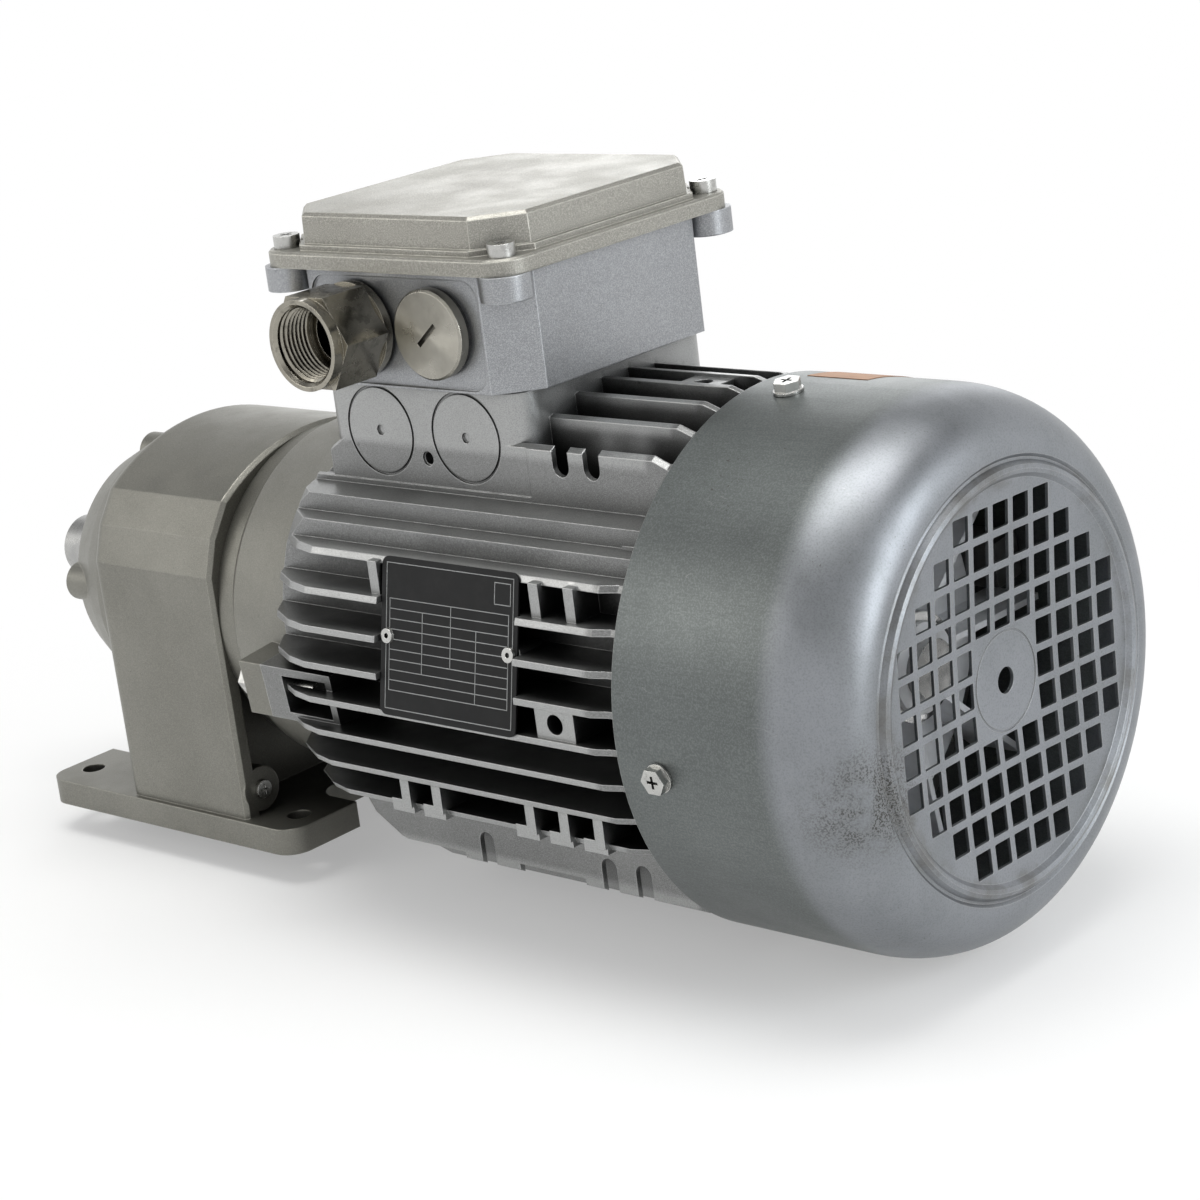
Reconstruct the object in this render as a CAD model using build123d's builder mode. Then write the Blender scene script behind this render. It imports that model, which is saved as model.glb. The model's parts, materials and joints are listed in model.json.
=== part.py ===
from math import atan, cos, pi, radians, sin, sqrt, tan
import os

from build123d import *

# Gear motor: foot-mounted two-stage gear unit with a fan-cooled induction motor.
# Millimetres. X runs along the motor axis towards the fan, Z is up, and the near side is -Y. The origin is
# the middle of the foot-bolt pattern, on the underside of the foot. Stations are X values, and (across, up)
# pairs are Y and Z measured from the motor axis. Angles about the axis start at -Y and rise towards +Z.

# Gear housing and foot
SHAFT_HEIGHT = 83.5
FOOT_LENGTH = 142.0
FOOT_WIDTH = 130.0
FOOT_THICKNESS = 10.0
FOOT_CORNER = 9.0
FOOT_GAP = 62.0
FOOT_GAP_DEPTH = 22.0
FOOT_HOLE_RADIUS = 4.5
FOOT_HOLES_X = 120.0
FOOT_HOLES_Y = 100.0
HOUSING_FRONT = -22.0
HOUSING_BACK = 46.0
HOUSING_HALF_WIDTH = 63.0
HOUSING_TOP = 62.3
HOUSING_WALL = 6.0
HUB_FRONT = -56.0
HUB_RADIUS = 45.0
HUB_LUG_CIRCLE = 43.0
HUB_LUG_RADIUS = 7.5
HUB_LUG_DEPTH = 24.0
HUB_LUG_HOLE = 3.3
HUB_LUG_ANGLES = (-86, 4, 94, 184)
OIL_PLUG_OUT = 37.0
OIL_PLUG_ANGLE = 225.0
OIL_PLUG_RADIUS = 5.0
OIL_PLUG_DEPTH = 10.0
SHIELD_BOLT_OUT = 53.0
SHIELD_BOLT_ANGLES = (-20, 20, 70, 110, 160)
SHIELD_BOLT_RADIUS = 3.0
CORNER_SCREWS = ((-54.0, -64.0), (54.0, -64.0))
CORNER_SCREW_DEPTH = 14.0
WEB_FRONT = 14.0
WEB_BACK = 26.0

# Gear train: module, teeth and face width of each pair, and the direction of the countershaft
STAGE_1_MODULE = 1.25
PINION_1_TEETH = 15
GEAR_1_TEETH = 49
STAGE_2_MODULE = 2.0
PINION_2_TEETH = 12
GEAR_2_TEETH = 28
BACKLASH = 0.25
COUNTERSHAFT_DIRECTION = -62.0
GEAR_1_START = 30.0
GEAR_1_WIDTH = 10.0
PINION_OVERLAP = 1.0
GEAR_2_START = -3.0
GEAR_2_WIDTH = 15.0
PINION_SHANK_RADIUS = 6.0
PINION_SHANK = 20.0

# Rolling bearings: bore radius, outer radius, width, balls
BEARING_6004 = (10.0, 21.0, 12.0, 9)
BEARING_6202 = (7.5, 17.5, 11.0, 8)
BEARING_6205 = (12.5, 26.0, 15.0, 9)
BEARING_6206 = (15.0, 31.0, 16.0, 9)
BALL_CLEARANCE = 0.15

# Shafts and seals
OUTPUT_SHAFT_RADIUS = 12.5
OUTPUT_SHAFT_LENGTH = 50.0
OUTPUT_SEAL_WIDTH = 5.5
OUTPUT_BEARING_START = -50.0
KEY_WIDTH = 8.0
KEY_LENGTH = 40.0
KEY_SEAT_DEPTH = 4.0
COUNTER_BEARING_FRONT = -18.0
MOTOR_SEAL_START = 49.0
MOTOR_SEAL_WIDTH = 7.0
MOTOR_SEAL_RADIUS = 19.0
SEAL_CLEARANCE = 0.05
ROTOR_SHAFT_START = 43.0
DRIVE_BEARING_START = 64.0
FAN_BEARING_START = 254.0
ROTOR_CORE_RADIUS = 40.0
ROTOR_BORE_RADIUS = 17.0
FAN_SEAT_RADIUS = 10.0
ROTOR_SHAFT_END = 320.0

# Stator frame with its cooling fins
FRAME_START = 93.0
FRAME_END = 268.0
BARREL_BORE = 65.0
BARREL_RADIUS = 70.0
FIN_TIP_RADIUS = 90.5
FIN_TIP_IN_COVER = 88.5
FIN_STEP_START = 254.0
FIN_STEP_END = 260.0
FIN_THICKNESS = 2.2
SIDE_FIN_PITCH = 12.5
TOP_FIN_PITCH = 13.5
FIN_NOTCH = 7.0
NOTCH_LENGTH = 16.0
NOTCH_DOWN = 73.0
NOTCH_UP = 76.0
LOWER_NOTCHES = (156.0, 213.0, 228.4)
UPPER_NOTCHES = (214.5, 228.0)
LOWER_RECESSES = ((93.0, 144.6), (170.7, 201.5))
FIN_POSTS = (155.0, 170.0, 213.0, 228.0, 243.0)
LEDGES = ((62.0, 58.0), (70.5, 51.5))
PAD_STATION = 236.8
PAD_LENGTH = 16.5
PAD_WIDTH = 14.0
PAD_FACE = 89.0
PAD_HOLE_RADIUS = 3.4
PAD_HOLE_DEPTH = 14.0
EAR_LENGTH = 35.0
EAR_WIDTH = 20.0
EAR_TIP = 84.0
BOLT_CIRCLE_RADIUS = 77.5
BOLT_TURN = -6.4
CORE_START = 125.0
CORE_LENGTH = 100.0
AIR_GAP = 0.5
SLOTS = 24
WINDING_OVERHANG = 22.0

# Terminal box on its cast base
BOX_STATION = 152.3
BASE_LENGTH = 94.0
BASE_WIDTH = 96.0
BASE_CORNER = 9.0
BASE_TOP = 94.2
BASE_FOOT = 55.0
BASE_CLEAR = 60.0
GASKET = 0.8
BOX_SIZE = 106.0
BOX_CHAMFER = 13.0
BOX_WALL = 4.5
BOX_TOP = 135.5
BOX_BOSS_RADIUS = 8.5
BOX_BOSS_HEIGHT = 8.5
BASE_SCREWS = 74.0
LID_SIZE = 117.0
LID_CORNER = 11.0
LID_FLANGE = 5.5
LID_STEP = 2.0
LID_RAISED = 106.0
LID_RAISED_CHAMFER = 14.0
LID_HEIGHT = 18.0
LID_WALL = 3.5
LID_SCREWS = 101.0
ENTRY_SPACING = 36.4
ENTRY_HEIGHT = 115.0
ENTRY_THREAD_RADIUS = 12.5
ADAPTER_FLATS = 31.0
ADAPTER_COLLAR = 16.5
ADAPTER_LENGTH = 26.0
ADAPTER_BORE = 12.8
ADAPTER_BORE_DEPTH = 16.0
ADAPTER_PASSAGE = 9.5
KNOCKOUT_RADIUS = 15.9
KNOCKOUT_SPACING = 40.5
KNOCKOUT_HEIGHT = 78.0
BLOCK_LENGTH = 64.0
BLOCK_WIDTH = 34.0
BLOCK_HEIGHT = 12.0
STUD_RADIUS = 2.5
STUD_PITCH = 20.0
STUD_ROWS = 18.0

# Nameplate, lying on a flat cut across the near-side fins
PLATE_STATION = 189.5
PLATE_LENGTH = 62.0
PLATE_HEIGHT = 53.0
PLATE_THICKNESS = 0.8
PLATE_OUT = 84.6
PLATE_UP = 19.5
PLATE_TILT = 12.5
RIVET_SPACING = 55.3
RIVET_RADIUS = 1.6

# Fan end: shield, cover and fan
SHIELD_THICKNESS = 8.0
SHIELD_LUG = 24.0
COVER_RADIUS = 91.5
COVER_SHEET = 1.2
COVER_START = 264.2
COVER_SHOULDER = 30.0
COVER_CREST = 350.0
COVER_CREST_RADIUS = 71.0
COVER_FACE = 346.8
BEAD_RADIUS = 66.5
BEAD_HEIGHT = 1.8
GRILLE_PITCH = 10.7
GRILLE_SQUARE = 8.3
GRILLE_REACH = 5.5
GRILLE_TILT = 1.75
STAMP_RADIUS = 16.0
STAMP_HOLE = 4.3
COVER_SCREW_STATION = 280.8
COVER_SCREW_RADIUS = 2.5
FAN_START = 284.0
FAN_LENGTH = 32.0
FAN_RADIUS = 76.0
FAN_BLADES = 9
FAN_BLADE_THICKNESS = 2.2
LABEL_LENGTH = 24.0
LABEL_ARC = 26.0

# Worked out from the sizes above
CENTRES_1 = STAGE_1_MODULE * (PINION_1_TEETH + GEAR_1_TEETH) / 2
CENTRES_2 = STAGE_2_MODULE * (PINION_2_TEETH + GEAR_2_TEETH) / 2
COUNTERSHAFT = (
    CENTRES_1 * cos(radians(COUNTERSHAFT_DIRECTION)),
    CENTRES_1 * sin(radians(COUNTERSHAFT_DIRECTION)),
)
BOLT_ANGLES = [BOLT_TURN + 90 * quarter for quarter in range(4)]
LID_TOP = BOX_TOP + LID_HEIGHT
BOX_FLOOR = BASE_TOP + GASKET
BOX_SIDE = -BOX_SIZE / 2
ENTRIES = (BOX_STATION - ENTRY_SPACING / 2, BOX_STATION + ENTRY_SPACING / 2)
SHIELD_BACK = FRAME_END + SHIELD_THICKNESS
FOOT_TOP = FOOT_THICKNESS - SHAFT_HEIGHT
OUTPUT_SHAFT_END = HUB_FRONT - OUTPUT_SHAFT_LENGTH
GRILLE_TURN = radians(GRILLE_TILT)


def across(station, centre=(0, 0)):
    """Plane square to the motor axis, with its own X along Y and its own Y along Z."""
    origin = (station, centre[0], SHAFT_HEIGHT + centre[1])
    return Plane(origin=origin, x_dir=(0, 1, 0), z_dir=(1, 0, 0))


def facing_output(station, centre=(0, 0)):
    """Plane square to the motor axis that faces the output end."""
    origin = (station, centre[0], SHAFT_HEIGHT + centre[1])
    return Plane(origin=origin, x_dir=(0, -1, 0), z_dir=(-1, 0, 0))


def level(height, station=0.0):
    """Horizontal plane at a height above the motor axis, centred on a station."""
    return Plane(origin=(station, 0, SHAFT_HEIGHT + height))


def outward(station, radius, angle):
    """Plane on a circle about the motor axis that faces away from the axis, its own X along the axis."""
    out = (-cos(radians(angle)), sin(radians(angle)))
    origin = (station, radius * out[0], SHAFT_HEIGHT + radius * out[1])
    return Plane(origin=origin, x_dir=(1, 0, 0), z_dir=(0, *out))


def on_circle(radius, angle):
    """(across, up) point at an angle about the motor axis."""
    return (-radius * cos(radians(angle)), radius * sin(radians(angle)))


def turn(points, centre=(0, 0), mode=Mode.ADD):
    """Revolve a closed outline of (station, radius) points about an axis along X through a centre."""
    origin = (0, centre[0], SHAFT_HEIGHT + centre[1])
    with BuildSketch(Plane(origin=origin, x_dir=(1, 0, 0), z_dir=(0, -1, 0))) as outline:
        with BuildLine():
            Polyline(*points, close=True)
        make_face()
    revolve(outline.sketch, axis=Axis(origin, (1, 0, 0)), mode=mode)


def ring(start, length, inner, outer, centre=(0, 0), mode=Mode.ADD):
    """Plain ring, or a disc where the inner radius is 0."""
    end = start + length
    turn([(start, inner), (end, inner), (end, outer), (start, outer)], centre, mode)


def post(station, length, radius, centre=(0, 0), mode=Mode.ADD):
    """Cylinder along X from a station."""
    ring(station, length, 0, radius, centre, mode)


def ball_size(bearing):
    """Pitch radius and ball radius of a bearing."""
    bore, outer, _, _ = bearing
    return (bore + outer) / 2, 0.29 * (outer - bore)


def race(start, bearing, inner, centre=(0, 0)):
    """Inner or outer ring of a ball bearing, with its ball groove."""
    bore, outer, width, _ = bearing
    pitch, ball = ball_size(bearing)
    wall = 0.27 * (outer - bore)
    if inner:
        ring(start, width, bore, bore + wall, centre)
    else:
        ring(start, width, outer - wall, outer, centre)
    origin = (start + width / 2, centre[0], SHAFT_HEIGHT + centre[1])
    with BuildSketch(Plane(origin=origin, x_dir=(1, 0, 0), z_dir=(0, -1, 0))) as groove:
        with Locations((0, pitch)):
            Circle(ball + BALL_CLEARANCE)
    revolve(groove.sketch, axis=Axis(origin, (1, 0, 0)), mode=Mode.SUBTRACT)


def balls(start, bearing, centre=(0, 0)):
    """Ball set of a bearing."""
    _, _, width, count = bearing
    pitch, ball = ball_size(bearing)
    with Locations(across(start + width / 2, centre)):
        with PolarLocations(pitch, count):
            Sphere(ball)


def tooth_outline(module, teeth, turned, thinner):
    """Involute tooth outline, thinned for backlash, as points about the gear's centre.

    One tooth is centred on the angle turned, in degrees from the +Y direction."""
    pitch = module * teeth / 2
    base = pitch * cos(radians(20))
    tip = pitch + module
    root = pitch - 1.25 * module
    involute = tan(radians(20)) - radians(20)
    half_at_base = pi / (2 * teeth) + involute - thinner / (2 * pitch)
    points = []
    for tooth in range(teeth):
        middle = radians(turned) + 2 * pi * tooth / teeth
        flank = []
        for step in range(5):
            radius = max(base, root) + (tip - max(base, root)) * step / 4
            roll = sqrt(max(0.0, (radius / base) ** 2 - 1))
            flank.append((radius, half_at_base - (roll - atan(roll))))
        foot_half = flank[0][1]
        left = [(root, foot_half)] + flank if root < base else flank
        points += [(r * cos(middle - half), r * sin(middle - half)) for r, half in left]
        points += [(r * cos(middle + half), r * sin(middle + half)) for r, half in reversed(left)]
    return points


def teeth(start, width, module, count, turned, centre=(0, 0)):
    """Toothed wheel with spur teeth, solid to its centre."""
    with BuildSketch(across(start, centre)) as outline:
        with BuildLine():
            Polyline(*tooth_outline(module, count, turned, BACKLASH / 2), close=True)
        make_face()
    extrude(outline.sketch, amount=width)


def hex_screws(seats, flats, head, radius, length):
    """Hexagon-head screws: the head stands outside each seat plane and the shank runs inwards."""
    with BuildSketch(*seats) as heads:
        RegularPolygon(flats / 2, 6, major_radius=False)
    extrude(heads.sketch, amount=head)
    with BuildSketch(*seats) as shanks:
        Circle(radius)
    extrude(shanks.sketch, amount=-length)


def cap_screws(seats, head_radius, head, radius, length):
    """Round-head screws with a cross slot in the head."""
    with BuildSketch(*seats) as heads:
        Circle(head_radius)
    extrude(heads.sketch, amount=head)
    with BuildSketch(*seats) as shanks:
        Circle(radius)
    extrude(shanks.sketch, amount=-length)
    with BuildSketch(*[seat.offset(head) for seat in seats]) as slots:
        Rectangle(1.2 * head_radius, 0.22 * head_radius)
        Rectangle(0.22 * head_radius, 1.2 * head_radius)
    extrude(slots.sketch, amount=-head / 2, mode=Mode.SUBTRACT)


def save(piece, label):
    """Label a finished piece and write it out."""
    piece.part.label = label
    export_step(piece.part, f"parts/{label}.step")


os.makedirs("parts", exist_ok=True)

# Gear housing: cast body with a roofed outline, a hub towards the output side and the foot
housing_side = [
    (HOUSING_HALF_WIDTH, -SHAFT_HEIGHT),
    (HOUSING_HALF_WIDTH, 20),
    (HOUSING_HALF_WIDTH - 4.6, 33.6),
    (HOUSING_HALF_WIDTH - 12.7, 45.7),
]
inner = HOUSING_WALL
shield_bolt_points = [on_circle(SHIELD_BOLT_OUT, angle) for angle in SHIELD_BOLT_ANGLES]
cavity_side = [
    (HOUSING_HALF_WIDTH - inner, FOOT_TOP),
    (HOUSING_HALF_WIDTH - inner, 18),
    (HOUSING_HALF_WIDTH - 13 - inner, 41),
]


def arched_outline(side, top):
    """Two mirrored sides joined by a floor line and by an arc over the top, in the current line."""
    other = [(-y, z) for y, z in reversed(side)]
    Polyline(*side)
    ThreePointArc(side[-1], (0, top), other[0])
    Polyline(*other, side[0])


with BuildPart() as gear_housing:
    with BuildSketch(across(HOUSING_BACK)):
        with BuildLine():
            arched_outline(housing_side, HOUSING_TOP)
        make_face()
    extrude(amount=HOUSING_FRONT - HOUSING_BACK)
    fillet(gear_housing.faces().sort_by(Axis.X)[0].edges().sort_by(Axis.Z)[1:], 6)
    chamfer(gear_housing.faces().sort_by(Axis.X)[-1].edges().sort_by(Axis.Z)[1:], 1.5)
    turn([(HOUSING_FRONT + 1, 0), (HOUSING_FRONT + 1, 58), (-30, 56), (-40, 52), (HUB_FRONT + 1, HUB_RADIUS),
          (HUB_FRONT, HUB_RADIUS - 1), (HUB_FRONT, 0)])
    with BuildSketch(across(HUB_FRONT)):
        with Locations(*[on_circle(HUB_LUG_CIRCLE, angle) for angle in HUB_LUG_ANGLES]):
            Circle(HUB_LUG_RADIUS)
    extrude(amount=HOUSING_FRONT - HUB_FRONT + 1)
    with BuildSketch():
        RectangleRounded(FOOT_LENGTH, FOOT_WIDTH, FOOT_CORNER)
        with Locations((FOOT_LENGTH / 2, 0), (-FOOT_LENGTH / 2, 0)):
            RectangleRounded(2 * FOOT_GAP_DEPTH, FOOT_GAP, FOOT_CORNER, mode=Mode.SUBTRACT)
    extrude(amount=FOOT_THICKNESS)
    with Locations(Location((0, 0, FOOT_THICKNESS))):
        with GridLocations(FOOT_HOLES_X, FOOT_HOLES_Y, 2, 2):
            Hole(FOOT_HOLE_RADIUS, FOOT_THICKNESS)
    with BuildSketch(across(HOUSING_BACK)):
        with BuildLine():
            arched_outline(cavity_side, HOUSING_TOP - inner)
        make_face()
    extrude(amount=WEB_BACK - HOUSING_BACK, mode=Mode.SUBTRACT)
    with BuildSketch(across(WEB_FRONT)):
        with BuildLine():
            arched_outline(cavity_side, HOUSING_TOP - inner)
        make_face()
    extrude(amount=HOUSING_FRONT + 8 - WEB_FRONT, mode=Mode.SUBTRACT)
    ring(HOUSING_FRONT + 4, COUNTER_BEARING_FRONT + BEARING_6202[2] - HOUSING_FRONT - 4, 0,
         BEARING_6202[1] + 4, COUNTERSHAFT)
    post(COUNTER_BEARING_FRONT, BEARING_6202[2], BEARING_6202[1], COUNTERSHAFT, Mode.SUBTRACT)
    post(HUB_FRONT, WEB_FRONT - HUB_FRONT, BEARING_6206[1], mode=Mode.SUBTRACT)
    post(WEB_FRONT, WEB_BACK - WEB_FRONT, BEARING_6004[1], mode=Mode.SUBTRACT)
    post(WEB_FRONT, WEB_BACK - WEB_FRONT, 15, COUNTERSHAFT, Mode.SUBTRACT)
    for point in shield_bolt_points:
        post(WEB_BACK, HOUSING_BACK - WEB_BACK, 7.5, point)
        post(HOUSING_BACK - 18, 18, SHIELD_BOLT_RADIUS, point, Mode.SUBTRACT)
    for point in CORNER_SCREWS:
        post(WEB_BACK, HOUSING_BACK - WEB_BACK, 8.5, point)
        post(HOUSING_BACK - CORNER_SCREW_DEPTH, CORNER_SCREW_DEPTH, 2.5, point, Mode.SUBTRACT)
    post(HUB_FRONT, OIL_PLUG_DEPTH, OIL_PLUG_RADIUS, on_circle(OIL_PLUG_OUT, OIL_PLUG_ANGLE), Mode.SUBTRACT)
    with BuildSketch(across(HUB_FRONT)):
        with Locations(*[on_circle(HUB_LUG_CIRCLE, angle) for angle in HUB_LUG_ANGLES]):
            Circle(HUB_LUG_HOLE)
    extrude(amount=HUB_LUG_DEPTH, mode=Mode.SUBTRACT)
save(gear_housing, "gear_housing")

with BuildPart() as oil_plug:
    seat = facing_output(HUB_FRONT, on_circle(OIL_PLUG_OUT, OIL_PLUG_ANGLE))
    hex_screws([seat], 14, 6, OIL_PLUG_RADIUS, OIL_PLUG_DEPTH)
    with BuildSketch(seat.offset(6)):
        RegularPolygon(5, 6)
    extrude(amount=6)
save(oil_plug, "oil_plug")

with BuildPart() as output_seal:
    ring(HUB_FRONT + 0.3, OUTPUT_SEAL_WIDTH, BEARING_6206[0] + SEAL_CLEARANCE, BEARING_6206[1])
    ring(HUB_FRONT + 0.3, 1.5, BEARING_6206[0] + 3, BEARING_6206[1] - 4, mode=Mode.SUBTRACT)
save(output_seal, "output_seal")

# Output shaft with its open keyway, gear and bearings
front_end = OUTPUT_BEARING_START + BEARING_6206[2]
gear_2_end = GEAR_2_START + GEAR_2_WIDTH
with BuildPart() as output_shaft:
    turn([
        (OUTPUT_SHAFT_END, 0), (OUTPUT_SHAFT_END, OUTPUT_SHAFT_RADIUS - 1),
        (OUTPUT_SHAFT_END + 1, OUTPUT_SHAFT_RADIUS), (HUB_FRONT - 0.5, OUTPUT_SHAFT_RADIUS),
        (HUB_FRONT - 0.5, BEARING_6206[0]), (front_end, BEARING_6206[0]), (front_end, 18),
        (GEAR_2_START, 18), (GEAR_2_START, 13), (gear_2_end, 13), (gear_2_end, 12),
        (WEB_FRONT, 12), (WEB_FRONT, BEARING_6004[0]), (WEB_BACK + 1, BEARING_6004[0]), (WEB_BACK + 1, 0),
    ])
    with BuildSketch(level(OUTPUT_SHAFT_RADIUS, OUTPUT_SHAFT_END + OUTPUT_SHAFT_LENGTH / 2)):
        SlotOverall(KEY_LENGTH, KEY_WIDTH)
    extrude(amount=-KEY_SEAT_DEPTH, mode=Mode.SUBTRACT)
    with Locations(facing_output(OUTPUT_SHAFT_END)):
        Hole(4.2, 22)
save(output_shaft, "output_shaft")

with BuildPart() as output_gear:
    teeth(GEAR_2_START, GEAR_2_WIDTH, STAGE_2_MODULE, GEAR_2_TEETH,
          COUNTERSHAFT_DIRECTION + 180 / GEAR_2_TEETH)
    post(GEAR_2_START, GEAR_2_WIDTH, 13, mode=Mode.SUBTRACT)
save(output_gear, "output_gear")

with BuildPart() as output_bearing_inners:
    race(OUTPUT_BEARING_START, BEARING_6206, True)
    race(WEB_FRONT, BEARING_6004, True)
save(output_bearing_inners, "output_bearing_inners")

with BuildPart() as output_bearing_outers:
    race(OUTPUT_BEARING_START, BEARING_6206, False)
    race(WEB_FRONT, BEARING_6004, False)
save(output_bearing_outers, "output_bearing_outers")

with BuildPart() as output_bearing_balls:
    balls(OUTPUT_BEARING_START, BEARING_6206)
    balls(WEB_FRONT, BEARING_6004)
save(output_bearing_balls, "output_bearing_balls")

# Countershaft, with the second pinion cut on it, and its gear and bearings
counter_back = HOUSING_BACK + BEARING_6202[2]
pinion_2_end = gear_2_end + PINION_OVERLAP
with BuildPart() as countershaft:
    teeth(GEAR_2_START - PINION_OVERLAP, GEAR_2_WIDTH + 2 * PINION_OVERLAP, STAGE_2_MODULE, PINION_2_TEETH,
          COUNTERSHAFT_DIRECTION + 180, COUNTERSHAFT)
    counter_front_end = COUNTER_BEARING_FRONT + BEARING_6202[2]
    turn([
        (COUNTER_BEARING_FRONT, 0), (COUNTER_BEARING_FRONT, BEARING_6202[0]),
        (counter_front_end, BEARING_6202[0]), (counter_front_end, 9.4), (WEB_BACK + 1, 9.4),
        (WEB_BACK + 1, 12), (GEAR_1_START, 12), (GEAR_1_START, 9), (HOUSING_BACK - 3, 9),
        (HOUSING_BACK, 9), (HOUSING_BACK, BEARING_6202[0]), (counter_back, BEARING_6202[0]),
        (counter_back, 0),
    ], COUNTERSHAFT)
save(countershaft, "countershaft")

with BuildPart() as countershaft_gear:
    teeth(GEAR_1_START, GEAR_1_WIDTH, STAGE_1_MODULE, GEAR_1_TEETH,
          COUNTERSHAFT_DIRECTION + 180 + 180 / GEAR_1_TEETH, COUNTERSHAFT)
    post(GEAR_1_START, GEAR_1_WIDTH, 9, COUNTERSHAFT, Mode.SUBTRACT)
save(countershaft_gear, "countershaft_gear")

with BuildPart() as countershaft_bearing_inners:
    race(COUNTER_BEARING_FRONT, BEARING_6202, True, COUNTERSHAFT)
    race(HOUSING_BACK, BEARING_6202, True, COUNTERSHAFT)
save(countershaft_bearing_inners, "countershaft_bearing_inners")

with BuildPart() as countershaft_bearing_outers:
    race(COUNTER_BEARING_FRONT, BEARING_6202, False, COUNTERSHAFT)
    race(HOUSING_BACK, BEARING_6202, False, COUNTERSHAFT)
save(countershaft_bearing_outers, "countershaft_bearing_outers")

with BuildPart() as countershaft_bearing_balls:
    balls(COUNTER_BEARING_FRONT, BEARING_6202, COUNTERSHAFT)
    balls(HOUSING_BACK, BEARING_6202, COUNTERSHAFT)
save(countershaft_bearing_balls, "countershaft_bearing_balls")

# Drive-end shield: closes the gear housing and carries the motor's drive-end bearing
drive_bearing_end = DRIVE_BEARING_START + BEARING_6205[2]
shield_bolt_seat = HOUSING_BACK + 16
with BuildPart() as drive_end_shield:
    turn([
        (HOUSING_BACK, MOTOR_SEAL_RADIUS), (HOUSING_BACK, 61), (54, 61), (59, 65), (84, 68.5),
        (FRAME_START, BARREL_RADIUS), (FRAME_START, BARREL_BORE), (FRAME_START + 4, BARREL_BORE),
        (FRAME_START + 4, BARREL_BORE - 4), (82, 59), (70, 52), (DRIVE_BEARING_START, 48),
        (DRIVE_BEARING_START, BEARING_6205[1] + 6), (drive_bearing_end + 1, BEARING_6205[1] + 6),
        (drive_bearing_end + 1, BEARING_6205[1]), (DRIVE_BEARING_START, BEARING_6205[1]),
        (DRIVE_BEARING_START, 14.5), (MOTOR_SEAL_START + MOTOR_SEAL_WIDTH, 14.5),
        (MOTOR_SEAL_START + MOTOR_SEAL_WIDTH, MOTOR_SEAL_RADIUS),
    ])
    post(HOUSING_BACK, BEARING_6202[2], BEARING_6202[1], COUNTERSHAFT, Mode.SUBTRACT)
    seats = [outward(FRAME_START, BARREL_BORE + 2, angle) for angle in BOLT_ANGLES]
    with BuildSketch(*seats) as lugs:
        with Locations((-5.5, 0)):
            Rectangle(11, EAR_WIDTH)
    extrude(lugs.sketch, amount=EAR_TIP - BARREL_BORE - 2)
    with BuildSketch(across(FRAME_START)) as lug_holes:
        with Locations(*[on_circle(BOLT_CIRCLE_RADIUS, angle) for angle in BOLT_ANGLES]):
            Circle(3.2)
    extrude(lug_holes.sketch, amount=-11, mode=Mode.SUBTRACT)
    for point in shield_bolt_points:
        post(HOUSING_BACK, 40, SHIELD_BOLT_RADIUS + 0.2, point, Mode.SUBTRACT)
        post(shield_bolt_seat, 24, 5.6, point, Mode.SUBTRACT)
save(drive_end_shield, "drive_end_shield")

with BuildPart() as housing_bolts:
    cap_screws([across(shield_bolt_seat, point) for point in shield_bolt_points], 5, 6, SHIELD_BOLT_RADIUS,
               shield_bolt_seat - HOUSING_BACK + 17)
save(housing_bolts, "housing_bolts")

with BuildPart() as shield_bolts:
    seats = [facing_output(FRAME_START - 11, on_circle(BOLT_CIRCLE_RADIUS, angle)) for angle in BOLT_ANGLES]
    hex_screws(seats, 10, 4.5, 3, 31)
save(shield_bolts, "shield_bolts")

with BuildPart() as corner_screws:
    cap_screws([across(HOUSING_BACK, point) for point in CORNER_SCREWS], 3.4, 1.6, 2.5, CORNER_SCREW_DEPTH)
save(corner_screws, "corner_screws")

with BuildPart() as motor_seal:
    ring(MOTOR_SEAL_START, MOTOR_SEAL_WIDTH, BEARING_6205[0] + SEAL_CLEARANCE, MOTOR_SEAL_RADIUS)
    ring(MOTOR_SEAL_START, 4, BEARING_6205[0] + 2, MOTOR_SEAL_RADIUS - 2, mode=Mode.SUBTRACT)
save(motor_seal, "motor_seal")

# Rotor
core_end = CORE_START + CORE_LENGTH
fan_bearing_end = FAN_BEARING_START + BEARING_6205[2]
with BuildPart() as rotor_shaft:
    turn([
        (ROTOR_SHAFT_START, PINION_SHANK_RADIUS), (ROTOR_SHAFT_START, BEARING_6205[0]),
        (drive_bearing_end, BEARING_6205[0]), (drive_bearing_end, 15), (CORE_START - 5, 15),
        (CORE_START - 5, ROTOR_BORE_RADIUS), (core_end + 5, ROTOR_BORE_RADIUS), (core_end + 5, 15),
        (FAN_BEARING_START, 15), (FAN_BEARING_START, BEARING_6205[0]), (fan_bearing_end, BEARING_6205[0]),
        (fan_bearing_end, FAN_SEAT_RADIUS), (ROTOR_SHAFT_END, FAN_SEAT_RADIUS), (ROTOR_SHAFT_END, 0),
        (ROTOR_SHAFT_START + PINION_SHANK, 0), (ROTOR_SHAFT_START + PINION_SHANK, PINION_SHANK_RADIUS),
    ])
save(rotor_shaft, "rotor_shaft")

with BuildPart() as rotor_core:
    ring(CORE_START, CORE_LENGTH, ROTOR_BORE_RADIUS, ROTOR_CORE_RADIUS)
save(rotor_core, "rotor_core")

with BuildPart() as rotor_cage_rings:
    for station in (CORE_START - 9, core_end):
        ring(station, 9, 27, ROTOR_CORE_RADIUS - 2)
    for station, length in ((CORE_START - 15, 6), (core_end + 9, 6)):
        with BuildSketch(across(station)) as vanes:
            with PolarLocations(33, 12):
                Rectangle(9, 2.5)
        extrude(vanes.sketch, amount=length)
save(rotor_cage_rings, "rotor_cage_rings")

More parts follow.
